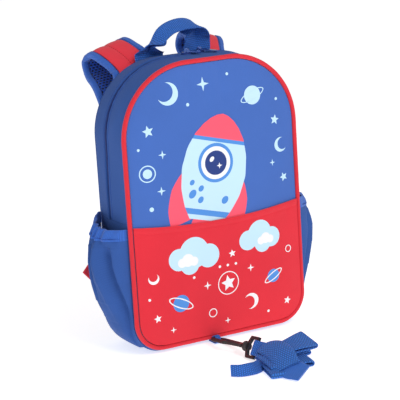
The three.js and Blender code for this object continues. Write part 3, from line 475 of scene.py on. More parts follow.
line = np.concatenate([
    straight(HALF_W, SEAM_Z, HALF_W, HIGH_Z, 1, 0),
    corner_arc(TOP_X, HIGH_Z, TOP_RADIUS, 0, 90),
    straight(TOP_X, SEAM_TOP, -TOP_X, SEAM_TOP, 0, 1),
    corner_arc(-TOP_X, HIGH_Z, TOP_RADIUS, 90, 180),
    straight(-HALF_W, HIGH_Z, -HALF_W, LOW_Z, -1, 0),
    corner_arc(-LOW_X, LOW_Z, LOW_RADIUS, 180, 270),
    straight(-LOW_X, SEAM_LOW, LOW_X, SEAM_LOW, 0, -1),
    corner_arc(LOW_X, LOW_Z, LOW_RADIUS, 270, 360),
    straight(HALF_W, LOW_Z, HALF_W, SEAM_Z, 1, 0),
])
run = lengths_along(line[:, :2])
ROUND = run[-1]
UPPER = 2 * (HIGH_Z - SEAM_Z) + math.pi * TOP_RADIUS + 2 * TOP_X
print(f"once round the bag {ROUND:.1f} mm, over the top {UPPER:.1f} mm")


def outline(s):
    """x, z and the outward direction at distance s along the line, which repeats after one round."""
    return [np.interp(np.mod(s, ROUND), run, line[:, k]) for k in range(4)]


def shell(s, y, out):
    """A place on the gusset: the outline at s, moved outwards by out and back by y."""
    x, z, nx, nz = outline(s)
    size = np.hypot(nx, nz)
    return np.stack([x + nx / size * out, np.broadcast_to(y, np.shape(out)), z + nz / size * out], -1)


def swell(s, y):
    """The gusset's height over the outline: a slight arch, and a flat of 6 mm under the base."""
    nz = outline(s)[3]
    rise = 1 - (y / HALF_D) ** 2
    flat = np.minimum(1, rise / (1 - (BASE_FLAT / HALF_D) ** 2))
    base = np.maximum(0, -nz) ** 2
    return SIDE_SWELL * rise * (1 - base) + SEAM_LOW * flat * base


def half_width(z, inset):
    """Half of the outline's width at height z, inset from it."""
    low = np.sqrt(np.maximum(0, (LOW_RADIUS - inset) ** 2 - np.maximum(0, LOW_Z - z) ** 2)) + LOW_X
    high = np.sqrt(np.maximum(0, (TOP_RADIUS - inset) ** 2 - np.maximum(0, z - HIGH_Z) ** 2)) + TOP_X
    return np.where(z < LOW_Z, low, np.where(z > HIGH_Z, high, HALF_W - inset))


def smooth(value, low, high):
    """0 below low, 1 above high and an S-shaped rise between them."""
    t = np.clip((value - low) / (high - low), 0, 1)
    return t * t * (3 - 2 * t)


def hill(distance, width):
    """A smooth hill: 1 in the middle and 0.37 at a distance of one width."""
    return np.exp(-((distance / width) ** 2))


def puff(x, z):
    """The front's height over the piping: 8 mm in the middle, falling as the 2.6th power of the
    share of the way to the outline, less a soft crease that runs down from the top seam."""
    low, high = np.zeros_like(x), np.ones_like(x)
    for _ in range(22):
        share = (low + high) / 2
        z_edge = MID_Z + (z - MID_Z) / share
        inside = (z_edge > SEAM_LOW) & (z_edge < SEAM_TOP) & (np.abs(x) / share < half_width(z_edge, 0))
        high = np.where(inside, share, high)
        low = np.where(inside, low, share)
    share = (low + high) / 2
    crease = hill(x + 6, 7) * smooth(z, 225, 285)
    return FRONT_DOME * (1 - share**2.6) - 1.6 * crease * (1 - share)

# %% [markdown]
# # Front panel and front pocket
# The front is one blue panel with a red pocket sewn over its lower half. Both are stuffed only
# a little, so they dome by 8 mm. A handful of slow waves keeps the cloth from looking moulded.
# The pocket's free edge sags in the middle and is turned over and stitched.

# %% The two front surfaces
HEM_Z, HEM_SAG = 141.0, 5.5
EDGE_INSET = 2.9
PANEL_THICK, POCKET_RISE, POCKET_AIR = 2.0, 2.1, 0.6


def hem_height(x):
    """The pocket's free edge: 141 mm at the sides and 5.5 mm lower in the middle."""
    return HEM_Z - HEM_SAG * (1 - (x / HALF_W) ** 2)


def ripple(x, z):
    """Slow waves of up to 0.64 mm and, below the top seam, two folds of under 1 mm. They fade out
    within 14 mm of the piping."""
    edge = 1
    for gap in (half_width(z, EDGE_INSET) - np.abs(x), SEAM_TOP - z, z - SEAM_LOW):
        edge = edge * np.clip(gap / 14, 0, 1)
    waves = 0.30 * np.sin(x / 13 + z / 31 + 0.6) + 0.22 * np.sin(x / 21 - z / 17 + 2.0)
    waves = waves + 0.12 * np.sin(z / 9 + x / 40)
    folds = 0.9 * hill(x + 22 - 0.12 * (z - 300), 6) * smooth(z, 235, 290)
    folds = folds + 0.8 * hill(x - 12 + 0.05 * (z - 300), 5) * smooth(z, 240, 292)
    return (waves - folds) * edge


def panel_y(x, z):
    return -HALF_D - puff(x, z) - ripple(x, z)


def pocket_y(x, z):
    """The pocket lies 2.1 mm over the panel, with a ridge along its turned edge."""
    below = hem_height(x) - z
    turned = 0.5 * hill(below - 2.2, 2.6) - 0.35 * hill(below - 6.4, 0.9)
    pucker = 0.16 * np.sin(x / 2.9 + 0.7 * np.sin(x / 11)) * hill(below - 6.4, 5)
    slow = 0.35 * np.sin(x / 19 + z / 23 + 1.2) * np.clip(below / 30, 0, 1)
    slow = slow * np.clip((half_width(z, EDGE_INSET) - np.abs(x)) / 12, 0, 1)
    return panel_y(x, z) - POCKET_RISE - turned - pucker - slow


def front_grid(z, columns):
    """Points of the front between its two edges at each height: x is a share of the half width."""
    even = np.linspace(-1, 1, columns)
    share = np.sin(even * math.pi / 2) * 0.35 + even * 0.65
    z = z[:, None] + 0 * share
    return share * half_width(z, EDGE_INSET), z


low_edge, high_edge = SEAM_LOW + EDGE_INSET, SEAM_TOP - EDGE_INSET
middle = (low_edge + high_edge) / 2
heights = middle + (high_edge - low_edge) / 2 * np.sin(np.linspace(-1, 1, 150) * math.pi / 2)
x, z = front_grid(heights, 110)
face = np.stack([x, panel_y(x, z), z], -1)
behind = face + [0, PANEL_THICK, 0]
flat = np.stack([x, z], -1)
cloth_wall("front_panel_cloth", face, behind, flat, panel_cloth, "panel_blue", ["front_panel"])

even = np.linspace(0, 1, 110)[:, None]
share = np.sin(even * math.pi / 2) * 0.5 + even * 0.5
columns = np.linspace(-1, 1, 130)[None]
z = low_edge + (hem_height(columns * HALF_W) - low_edge) * share
x = columns * half_width(z, EDGE_INSET)
face = np.stack([x, pocket_y(x, z), z], -1)
behind = np.stack([x, panel_y(x, z) - POCKET_AIR, z], -1)
flat = np.stack([x, z], -1)
cloth_wall("front_pocket_cloth", face, behind, flat, pocket_cloth, "pocket_red", ["front_pocket"])

# %% [markdown]
# # Printed picture
# The panel carries a plain space picture in pale blue, coral and mid-blue: a rocket that rises
# out of the pocket, two clouds on the pocket, and small stars, moons, rings and dots round
# them. Ink stands 0.14 to 0.57 mm over the cloth: each shape is a closed sheet that lies on the
# cloth's own surface, and a shape that is printed over another lies a little higher.

# %% Flat shapes, as grids of x and z
def filled(edge, step=1.9):
    """A closed edge drawn in towards its middle: x and z for each edge point and each share of the way."""
    centre = edge.mean(0)
    reach = np.linalg.norm(edge - centre, axis=1).max()
    share = np.linspace(0, 0.999, max(3, int(reach / step)))[None, :, None]
    return edge[:, None] * (1 - share) + centre * share, True


def even_steps(points, count, closed=False):
    """Points at even steps along a line and the distance run to each; closed leaves the last out."""
    walked = lengths_along(points)
    at = np.linspace(0, walked[-1], count, endpoint=not closed)
    return np.stack([np.interp(at, walked, column) for column in points.T], -1), at


def polygon(corners, count=60):
    """Points at even steps along straight edges between corners."""
    corners = np.asarray(corners, float)
    return even_steps(np.concatenate([corners, corners[:1]]), count, closed=True)[0]


def ellipse(x, z, wide, tall, turn=0.0, count=48):
    """Centre plus the two half sizes times cosine and sine, turned by an angle in degrees."""
    a = np.linspace(0, 2 * math.pi, count, endpoint=False)
    return placed(np.stack([wide * np.cos(a), tall * np.sin(a)], -1), x, z, turn)


def placed(shape, x, z, turn=0.0):
    """A shape turned by an angle in degrees and moved to x, z."""
    c, s = math.cos(math.radians(turn)), math.sin(math.radians(turn))
    return shape @ np.array([[c, s], [-s, c]]) + [x, z]


def star(x, z, radius, points=5, waist=0.45, turn=0.0):
    """A star: corners at two radii in turn."""
    a = np.linspace(0, 2 * math.pi, 2 * points, endpoint=False) + math.pi / 2
    r = np.where(np.arange(2 * points) % 2, radius * waist, radius)
    return polygon(placed(np.stack([r * np.cos(a), r * np.sin(a)], -1), x, z, turn), 20 * points)


def band(first, second, columns=3):
    """The area between two lines of equally many points."""
    t = np.linspace(0, 1, columns)[None, :, None]
    return first[:, None] * (1 - t) + second[:, None] * t


def hoop(x, z, radius, wide, squeeze=1.0, turn=0.0):
    """A closed line of a given width round a circle or an ellipse."""
    edges = [ellipse(x, z, radius + k * wide / 2, radius * squeeze + k * wide / 2, turn) for k in (1, -1)]
    return band(*edges), True


def moon(x, z, radius, turn):
    """A crescent: the area between a circle's arc and a flatter one through the same tips."""
    a = np.linspace(math.radians(52), math.radians(308), 44)
    outer = np.stack([radius * np.cos(a), radius * np.sin(a)], -1)
    b = np.linspace(math.radians(72), math.radians(288), 44)
    inner = np.stack([radius * 0.36 + radius * 0.82 * np.cos(b), radius * 0.83 * np.sin(b)], -1)
    inner[0], inner[-1] = outer[0] * 0.99, outer[-1] * 0.99
    return band(placed(outer, x, z, turn), placed(inner, x, z, turn), 5), False


def cloud(x, z, circles, count=110):
    """A cloud's edge seen from its middle: the farthest of several circles in each direction."""
    a = np.linspace(0, 2 * math.pi, count, endpoint=False)
    far = np.zeros(count)
    for cx, cz, radius in circles:
        ahead = cx * np.cos(a) + cz * np.sin(a)
        under = radius**2 - (cx**2 + cz**2 - ahead**2)
        far = np.maximum(far, np.where(under > 0, ahead + np.sqrt(np.maximum(under, 0)), 0))
    return np.stack([x + far * np.cos(a), z + far * np.sin(a)], -1)


# %% Ink laid on the cloth
INK_FILM, INK_LAYER, INK_SUNK = 0.14, 0.09, 0.1


def printed(name, shapes, ground, finish, slot, layer_number=0):
    """Every shape as a closed film whose top lies over the ground by 0.14 mm and 0.09 mm a layer."""
    parts, start = [], 0
    for grid, ring in shapes:
        x, z = grid[..., 0], grid[..., 1]
        y = ground(x, z)
        top = np.stack([x, y - INK_FILM - INK_LAYER * layer_number, z], -1)
        low = np.stack([x, y + INK_SUNK, z], -1)
        flat = np.concatenate([grid, grid[:1]]) if ring else grid
        points, faces, corners = wall_arrays(top, low, flat, ring)
        parts.append((points, faces + start, corners))
        start += len(points)
    make_piece(name, *(np.concatenate(group) for group in zip(*parts)), finish, slot)


def ink(name, colour):
    return cloth(name, colour, weave, 0.8, gap=0.07, cloud=0.03, relief=0.05, roughness=0.6, sheen=0.0)


pale_ink, coral_ink = ink("pale_ink", (200, 234, 252)), ink("coral_ink", (255, 92, 116))
mid_ink, white_ink = ink("mid_ink", (84, 148, 226)), ink("white_ink", (248, 248, 252))
dark_ink = ink("dark_ink", (42, 64, 132))

ROCKET_X, ROCKET_Z, ROCKET_LEAN = -17.0, 137.0, -15.0
HULL_UP = np.array([0, 12, 30, 52, 74, 90, 101, 108, 112.5, 114])
HULL_HALF = np.array([20, 28, 35.5, 39, 36, 29.5, 21.5, 14, 6.5, 0.2])


def on_rocket(shape):
    return placed(np.asarray(shape, float), ROCKET_X, ROCKET_Z, ROCKET_LEAN)


def hull(first, last, count=70):
    """Both sides of the rocket's hull between two heights, as one line each."""
    up = np.linspace(first, last, count)
    half = np.interp(up, HULL_UP, HULL_HALF)
    for _ in range(3):
        half[1:-1] = (half[:-2] + 2 * half[1:-1] + half[2:]) / 4
    half = np.maximum(half, 0.15)
    return np.stack([-half, up], -1), np.stack([half, up], -1)


def hull_part(first, last, columns):
    left_side, right_side = hull(first, last)
    return band(on_rocket(left_side), on_rocket(right_side), columns), False


def fin(turned):
    """A swept fin: the area between the hull's side and a curved outer edge."""
    up = np.linspace(0, 46, 26)
    inner_edge = np.interp(up, HULL_UP, HULL_HALF) - 3
    outer_edge = inner_edge + 3 + 19 * np.sin(np.linspace(1, 0, 26) * math.pi / 2) ** 0.9
    drop = 13 * np.linspace(1, 0, 26) ** 1.6
    first = np.stack([turned * inner_edge, up], -1)
    second = np.stack([turned * outer_edge, up - drop], -1)
    return band(on_rocket(first), on_rocket(second), 11), False


def discs(rows, count, step):
    """Filled circles from rows of x, z and radius."""
    return [filled(ellipse(x, z, r, r, 0, count), step) for x, z, r in rows]


def stars(rows, points, waist, step):
    """Filled stars from rows of x, z, radius and turn."""
    return [filled(star(*row[:3], points, waist, *row[3:]), step) for row in rows]


flame = [(-15, 3), (-17, -8), (-12, -20), (-7, -14), (0, -30), (7, -14), (12, -20), (17, -8), (15, 3)]
tail_parts = [fin(-1), fin(1), filled(on_rocket(polygon(flame, 90)))]
window = on_rocket([(0, 62)])[0]
dots = [(-21, 26, 5.2, 3.8), (-10, 21, 3.9, 3.0), (-24, 38, 3.2, 2.6), (-12, 33, 3.6, 2.9), (19, 24, 4.6, 3.5)]
spots = [filled(on_rocket(ellipse(x, z, wide, tall, 60, 28)), 1.4) for x, z, wide, tall in dots]
bands = [hull_part(84, 88, 34), hull_part(5, 11, 34), filled(ellipse(*window, 21, 21, 0, 90))]
shine = [filled(ellipse(window[0] - 4.5, window[1] + 4.5, 3.2, 2.2, 45, 26), 1.0),
         filled(star(window[0] + 4, window[1] - 3.5, 3.4, 4, 0.35), 1.2)]
sky = [moon(-50, 276, 12, 150), filled(ellipse(50, 262, 10, 10, 0, 50)), hoop(50, 262, 15, 1.1, 0.3, 20),
       hoop(-80, 196, 8.5, 1.2), filled(ellipse(-80, 196, 5, 5, 0, 30)), moon(82, 204, 8, 20),
       filled(ellipse(-78, 158, 2.4, 2.4, 0, 20), 1)]
sky += stars([(-76, 240, 6.6, 10), (76, 232, 5.6, -12), (84, 168, 5.2, 20)], 5, 0.45, 1.6)
sky += stars([(-8, 281, 7.5), (-62, 214, 4.6), (70, 186, 3.6), (-66, 176, 4.8)], 4, 0.3, 1.6)
sky += discs([(-28, 262, 1.8), (22, 288, 1.6), (80, 254, 1.6), (-88, 222, 1.5)], 20, 1)
for name, shapes, finish, height in (
    ("rocket_fins_print", tail_parts, coral_ink, 0),
    ("rocket_hull_print", [hull_part(0, 114, 44)], pale_ink, 1),
    ("rocket_nose_print", [hull_part(88, 114, 28)], coral_ink, 2),
    ("rocket_bands_print", bands + spots, mid_ink, 2),
    ("window_ring_print", [filled(ellipse(*window, 17.5, 17.5, 0, 80))], white_ink, 3),
    ("window_glass_print", [filled(ellipse(*window, 13, 13, 0, 70))], dark_ink, 4),
    ("window_shine_print", shine, white_ink, 4.8), ("sky_print", sky, pale_ink, 0.4),
):
    printed(name, shapes, panel_y, finish, "panel_blue", height)

puffs = [
    cloud(-34, 103, [(0, 2, 17), (-18, -3, 12), (17, -4, 13), (-6, -10, 11)]),
    cloud(47, 110, [(0, 2, 15), (-15, -3, 11), (15, -4, 11), (3, -9, 10)]),
]
tops = [
    cloud(-42, 98, [(0, 0, 7), (-7, -2, 5), (7, -2, 5)], 60),
    cloud(54, 106, [(0, 0, 6), (-6, -2, 4.5), (6, -2, 4.5)], 60),
    star(6, 64, 9, 5, 0.48, 8),
]
planets = [filled(ellipse(-52, 52, 9.5, 9.5, 0, 50)), filled(ellipse(62, 62, 7.5, 7.5, 0, 40))]
small = [hoop(-52, 52, 15, 1.3, 0.32, -25), hoop(62, 62, 12, 1.2, 0.3, 30), moon(34, 38, 9, 200),
         hoop(-14, 34, 4.5, 1.0), hoop(84, 88, 3.6, 0.9), moon(-82, 84, 6, 100), hoop(6, 64, 12.5, 1.0)]
small += stars([(-80, 40, 4.6, 10), (80, 30, 4.6, -14), (12, 96, 4.4, 6)], 5, 0.45, 1.4)
small += stars([(-20, 66, 4.6), (34, 76, 4.2), (-62, 24, 3.6), (4, 22, 3.6)], 4, 0.3, 1.4)
small += discs([(x, z, 1.5) for x, z in ((-4, 84), (6, 84), (16, 84), (-36, 78), (56, 22), (-88, 62))], 18, 0.9)
for name, shapes, finish, height in (
    ("cloud_print", [filled(edge) for edge in puffs], pale_ink, 0),
    ("cloud_light_print", [filled(edge) for edge in tops], white_ink, 1),
    ("planet_print", planets, mid_ink, 0), ("pocket_marks_print", small, white_ink, 0.6),
):
    printed(name, shapes, pocket_y, finish, "pocket_red", height)

# %% [markdown]
# # Piping
# A red cord is caught in the seam between the front and the gusset. It is a round section of
# 5 mm carried once round the outline; the cloth over it is cut on the bias, so its weave runs
# slantwise.

# %% Piping cord
def cord_around(name, y, radius, count, sides, finish, nodes):
    """A circle of a given radius carried along the outline at depth y."""
    s = np.linspace(0, ROUND, count, endpoint=False)[:, None]
    a = np.linspace(0, 2 * math.pi, sides, endpoint=False)[None]
    out = radius * np.cos(a) * (1 + 0.02 * np.sin(s / 3.1))
    points = shell(s + 0 * a, y + radius * np.sin(a) + 0 * s, out)
    t = np.linspace(0, ROUND, count + 1)[:, None]
    b = np.linspace(0, 2 * math.pi * radius, sides + 1)[None]
    flat = np.stack([t + 0 * b, b + 0 * t], -1)
    return tube(name, points, flat, finish, "trim_red", nodes, closed=True)


cord_around("front_piping_cord", -HALF_D, 2.5, 420, 16, cord_cloth, ["front_piping"])

# %% [markdown]
# # Gusset and zip bands
# The sides are one long strip, cut in two over the top by the zip. A strip that is sewn along
# both edges puckers: short waves start at each seam and die out within a centimetre. The cloth
# that is turned under beside the zip makes a soft roll along each edge of the gap.

# %% Strips between the front seam and the back seam
FRONT_Y, BACK_SEAM = -31.7, 34.2


def puckers(s, y, edges, phase=0.0):
    """Waves along the seam, about 12 mm long and up to 0.22 mm high, that fade away from an edge."""
    waves = np.sin(s / 1.9 + 0.9 * np.sin(s / 13 + phase)) * (0.6 + 0.4 * np.sin(s / 37 + phase))
    return sum(0.22 * waves * np.exp(-np.abs(y - edge) / 3.6) for edge in edges)


def slow_folds(s, y):
    """Long shallow waves that make the side look like slack cloth."""
    reach = 1 - (y / HALF_D) ** 2
    return (0.5 * np.sin(s / 22 + y / 15) + 0.35 * np.sin(s / 34 - y / 8 + 1.7)) * reach


def gusset_strip(name, first, last, y_front, y_back, rolls, count, columns, nodes):
    """A strip from y_front to y_back along part of the outline, with a rolled edge beside the zip."""
    s = np.linspace(first, last, count)[:, None]
    y = np.linspace(y_front, y_back, columns)[None] + 0 * s
    s = s + 0 * y
    base = np.maximum(0, -outline(s)[3])
    out = swell(s, y) + (puckers(s, y, [FRONT_Y, BACK_SEAM] + rolls) + slow_folds(s, y)) * (1 - base)
    for edge in rolls:
        gap = np.abs(y - edge)
        out = out + 0.55 * hill(gap - 1.4, 1.3) - 0.9 * hill(gap, 0.5) - 0.3 * hill(gap - 3.4, 0.5)
    inner = np.minimum(out - 1.2, swell(s, y) - 1.2)
    flat = np.stack([y, s], -1)
    return cloth_wall(name, shell(s, y, out), shell(s, y, inner), flat, side_cloth, "gusset_blue", nodes)


ZIP_FRONT, ZIP_BACK = 3.0, 8.0
ZIP_MIDDLE = (ZIP_FRONT + ZIP_BACK) / 2
ZIP_FOLD, SEAM_GAP = 0.3, 0.15
for name, first, last, y_front, y_back, rolls, count, columns in (
    ("front_zip_band", 0, UPPER, FRONT_Y, ZIP_FRONT - ZIP_FOLD, [ZIP_FRONT - ZIP_FOLD], 460, 44),
    ("rear_zip_band", 0, UPPER, ZIP_BACK + ZIP_FOLD, BACK_SEAM, [ZIP_BACK + ZIP_FOLD], 460, 34),
    ("lower_gusset", UPPER, ROUND, FRONT_Y, BACK_SEAM, [], 380, 52),
):
    ends = first + SEAM_GAP, last - SEAM_GAP
    gusset_strip(f"{name}_cloth", *ends, y_front, y_back, rolls, count, columns, [name])

# %% [markdown]
# # Zip
# A narrow tape lies 1 mm under the bands and carries the closed coil: a close row of small
# nylon loops. Each loop is the same small bead, set along the outline and turned with it.

# %% Beads set along a path, for the coil and for every row of stitches
def bead(length, width, height, rings=5, sides=6):
    """A rounded bead lying along x: an ellipse that is fullest in the middle, on a grid of two angles."""
    u = np.linspace(0.14, math.pi - 0.14, rings)[:, None]
    v = np.linspace(0, 2 * math.pi, sides, endpoint=False)[None]
    return np.stack([
        -length / 2 * np.cos(u) + 0 * v,
        width / 2 * np.sin(u) ** 0.6 * np.cos(v),
        height / 2 * np.sin(u) ** 0.6 * np.sin(v),
    ], -1)


def bead_row(name, places, along, upward, size, finish, slot):
    """One bead of size (length, width, height) at each place, lying along one direction, as one mesh."""
    along = unit(along)
    side = unit(np.cross(upward, along))
    upward = np.cross(along, side)
    shape = bead(*size)
    rings, sides = shape.shape[:2]
    flat_shape = shape.reshape(-1, 3)
    axes = np.stack([along, side, upward], 1)
    points = places[:, None] + np.einsum("pk,nkc->npc", flat_shape, axes)
    one = quads(sides, rings, ring=True)
    one = (one % rings) * sides + one // rings
    ends = np.array([[0, 1, 2, 3], [0, 3, 4, 5]])
    ends = np.concatenate([ends, (ends + (rings - 1) * sides)[:, ::-1]])
    one = np.concatenate([one, ends[:, ::-1]])
    faces = (one[None] + (np.arange(len(places)) * rings * sides)[:, None, None]).reshape(-1, 4)
    corners = np.tile(flat_shape[one][:, :, :2], (len(places), 1, 1))
    return make_piece(name, points.reshape(-1, 3), faces, corners, finish, slot)


def stitches(name, path, outward, pitch, finish, slot, length=2.0, thick=0.55, sink=0.1):
    """A row of machine stitches: beads every pitch mm along a line of points that lies on cloth."""
    run_here = lengths_along(path)
    count = max(2, int(run_here[-1] / pitch))
    at = (np.arange(count) + 0.5) / count * run_here[-1]

    def there(values, shift=0.0):
        return np.stack([np.interp(at + shift, run_here, values[:, k]) for k in range(3)], -1)

    direction = there(path, 0.6) - there(path, -0.6)
    lift = unit(there(outward))
    places = there(path) + lift * (thick / 2 - sink)
    return bead_row(name, places, direction, lift, (length, thick, thick), finish, slot)


# %% Zip tape, coil and the stitching on both sides of it
s = np.linspace(SEAM_GAP, UPPER - SEAM_GAP, 420)[:, None]
y = np.linspace(ZIP_FRONT - 1.2, ZIP_BACK + 1.2, 9)[None] + 0 * s
s = s + 0 * y
out = swell(s, y) - 1.35 - 0.25 * np.cos((y - ZIP_MIDDLE) / 2.5 * math.pi)
tape = shell(s, y, out), shell(s, y, out - 0.8), np.stack([y, s], -1)
cloth_wall("zip_tape_cloth", *tape, zip_tape_cloth, "zip_cloth", ["zip_tape"])

s = np.arange(0.8, UPPER - 0.5, 1.35)
y = np.full_like(s, ZIP_MIDDLE)
centre = shell(s, y, swell(s, y) - 0.75)
backwards, upward = np.tile([0.0, 1.0, 0.0], (len(s), 1)), shell(s, y, swell(s, y) + 1) - centre
bead_row("zip_coil_loops", centre, backwards, upward, (3.6, 1.15, 1.3), zip_coil, "zip_cloth")

s = np.linspace(0.6, UPPER - 0.6, 500)
for name, y_line in (("front", ZIP_FRONT - 3.7), ("rear", ZIP_BACK + 3.7)):
    y = np.full_like(s, y_line)
    base = swell(s, y) + slow_folds(s, y) - 0.3
    stitches(f"zip_stitches_{name}", shell(s, y, base), shell(s, y, base + 1) - shell(s, y, base), 2.6,
             blue_thread, "gusset_blue", length=2.1, thick=0.6)

# %% [markdown]
# # Side pockets
# Each side has a loose pocket for a bottle. Its cloth is wider than the gusset it is sewn to,
# so it stands out in a belly, hangs in one long deep fold towards the front, and is gathered
# into small pleats by an elastic binding round its mouth. The belly is a smooth curve through
# a short table; the folds and pleats are valleys subtracted from it.

# %% Shape of a side pocket
POCKET_DROP = [-18, -12, 0, 12, 30, 50, 74, 95, 110, 124]
POCKET_BULGE = [10, 13, 20, 25.5, 29, 27.5, 20.5, 11, 4.5, 0.4]
MOUTH_Z, POCKET_FRONT, POCKET_BACK = 132.0, -31.4, 33.9
POCKET_MIDDLE, POCKET_HALF = (POCKET_FRONT + POCKET_BACK) / 2, (POCKET_BACK - POCKET_FRONT) / 2


def side_line(sign, drop):
    """Distance along the outline of a place that lies drop mm below the pocket's mouth."""
    right_mouth = ROUND - (SEAM_Z - MOUTH_Z)
    left_mouth = UPPER + (SEAM_Z - MOUTH_Z)
    return right_mouth - drop if sign > 0 else left_mouth + drop


def belly(drop):
    """How far the cloth stands out in the middle: the table, each step eased as in the CAD model."""
    k = np.clip(np.searchsorted(POCKET_DROP, drop, side="left"), 1, len(POCKET_DROP) - 1)
    x0, x1 = np.take(POCKET_DROP, k - 1), np.take(POCKET_DROP, k)
    y0, y1 = np.take(POCKET_BULGE, k - 1), np.take(POCKET_BULGE, k)
    return y0 + (y1 - y0) * smooth((drop - x0) / (x1 - x0), -0.25, 1.25)


def pocket_surface(sign, drop, y, lift):
    """The pocket cloth: gusset plus belly times (1 - across squared) to the 0.7, less the folds."""
    across = np.clip((y - POCKET_MIDDLE) / POCKET_HALF, -1, 1)
    s = side_line(sign, drop)
    shape = np.maximum(0, 1 - across**2) ** 0.7
    fold_y = -14 - 14 * smooth(drop, -5, 115)
    down = smooth(drop, 0, 24)
    fold = 14.0 * np.exp(-(np.abs((y - fold_y) / (5.6 - 0.022 * np.clip(drop, 0, 110))) ** 2.6)) * down
    beside = 4.6 * hill(y - fold_y - 9.5, 4.0) * down * smooth(drop, 118, 60)
    second = 5.2 * hill(y - 6 + drop * 0.05, 3.2) * smooth(drop, 2, 16) * smooth(drop, 86, 40)
    third = 3.4 * hill(y - 17 + drop * 0.04, 3.0) * smooth(drop, 2, 14) * smooth(drop, 60, 20)
    pleats = 1.6 * np.sin(y / 1.7 + 1.2 * np.sin(y / 6.5) + sign) * np.exp(-np.maximum(0, drop) / 15)
    slack = 0.5 * np.sin(drop / 11 + y / 9) * np.clip(drop / 30, 0, 1)
    valleys = (fold + second + third) * shape ** 0.6
    stands = np.maximum(0, belly(drop) * shape - valleys + beside * shape * 0.6)
    stands = stands + (pleats + slack) * shape * np.clip(stands / 4, 0, 1)
    return shell(s, y, swell(s, y) + 0.6 + np.maximum(0, stands) + lift)


def pocket_grid(drops, columns, sag, tilt):
    """Drop and depth at each point; sag lowers the mouth in the middle and tilt raises it at the back."""
    across = np.sin(np.linspace(-1, 1, columns)[None] * math.pi / 2)
    y = POCKET_MIDDLE + POCKET_HALF * across
    drop = drops[:, None] + sag[:, None] * (1 - across**2) - tilt[:, None] * across
    return drop, y + 0 * drop


for sign, name in ((-1, "left"), (1, "right")):
    drops = np.concatenate([np.linspace(-0.2, 20, 26), np.linspace(21, 123, 74)])
    ease = 4 * np.clip(1 - drops / 14, 0, 1)
    drop, y = pocket_grid(drops, 110, ease, ease)
    outer, inner = pocket_surface(sign, drop, y, 1.5), pocket_surface(sign, drop, y, 0.3)
    cloth_wall(f"side_pocket_{name}_cloth", outer, inner, np.stack([y, drop], -1), side_cloth, "gusset_blue",
               [f"side_pocket_{name}"])
    drops = np.linspace(-12, -0.2, 14)
    drop, y = pocket_grid(drops, 150, np.full(14, 4.0), np.full(14, 4.0))
    t = np.linspace(-1, 1, 14)[:, None]
    stretch = 0.35 * np.sin(y / 1.55 + 1.2 * np.sin(y / 6.5) + sign)
    roll = 2.5 + 0.5 * (1 - t**4) + stretch * (0.6 + 0.4 * t)
    outer = pocket_surface(sign, drop, y, roll)
    inner = pocket_surface(sign, drop, y, 0.2 - 0.3 * (1 - t**4))
    flat = np.stack([drop, y], -1)
    cloth_wall(f"pocket_binding_{name}_tape", outer, inner, flat, binding_tape, "webbing_blue",
               [f"pocket_binding_{name}"])
    zig = np.linspace(-29, 31.5, 90)
    across = (zig - POCKET_MIDDLE) / POCKET_HALF
    level = -3.4 + 0.9 * (np.arange(90) % 2) + 4 * (1 - across**2) - 4 * across
    path = pocket_surface(sign, level, zig, 2.95)
    lifted = pocket_surface(sign, level, zig, 4.0)
    stitches(f"pocket_zigzag_{name}", path, lifted - path, 1.0, blue_thread, "webbing_blue", 1.1, 0.5)

# %% [markdown]
# # Padded back
# The back is a flat foam pad in a blue cover. It has soft rounded edges and stays flat in its
# middle, where it lies against the wearer.

# %% Back pad
count = 420
s = np.linspace(0, ROUND, count, endpoint=False)
x, z, nx, nz = outline(s)


def back_rings(shares, depth):
    """Rings that shrink from the seam towards the middle; depth gives y for each share of the way."""
    ring_x = x[None] * (1 - shares[:, None])
    ring_z = MID_Z + (z - MID_Z)[None] * (1 - shares[:, None])
    return np.stack([ring_x, depth + 0 * ring_x, ring_z], -1)


shares = np.linspace(0, 1, 40) ** 1.6 * 0.999
rim = np.clip(shares[:, None] / 0.11, 0, 1)
soft = 0.25 * np.sin(s / 17)[None] * hill(shares[:, None] - 0.12, 0.08)
PAD_EDGE, PAD_RISE = 0.8, 4.2
rounded = PAD_RISE * np.sqrt(1 - (1 - rim) ** 2)
back_face = back_rings(shares, HALF_D + PAD_EDGE + rounded + soft * (rim < 1))
back_lining = back_rings(shares, HALF_D + SEAM_GAP)
back_grids = [rings.transpose(1, 0, 2) for rings in (back_face, back_lining)]
flat_s = np.linspace(0, ROUND, count + 1)[:, None]
flat = np.stack([flat_s + 0 * shares[None], 0 * flat_s + 110 * shares[None]], -1)
back_pad = cloth_wall("back_panel_pad", *back_grids, flat, side_cloth, "gusset_blue", ["back_panel"], ring=True)

# %% [markdown]
# # Lines through a table
# Straps, the handle and the leash follow lines that pass smoothly through a few places. The
# CAD model uses a centripetal Catmull-Rom line, which never loops between two places, so the
# same rule is worked out here for whole arrays of steps.

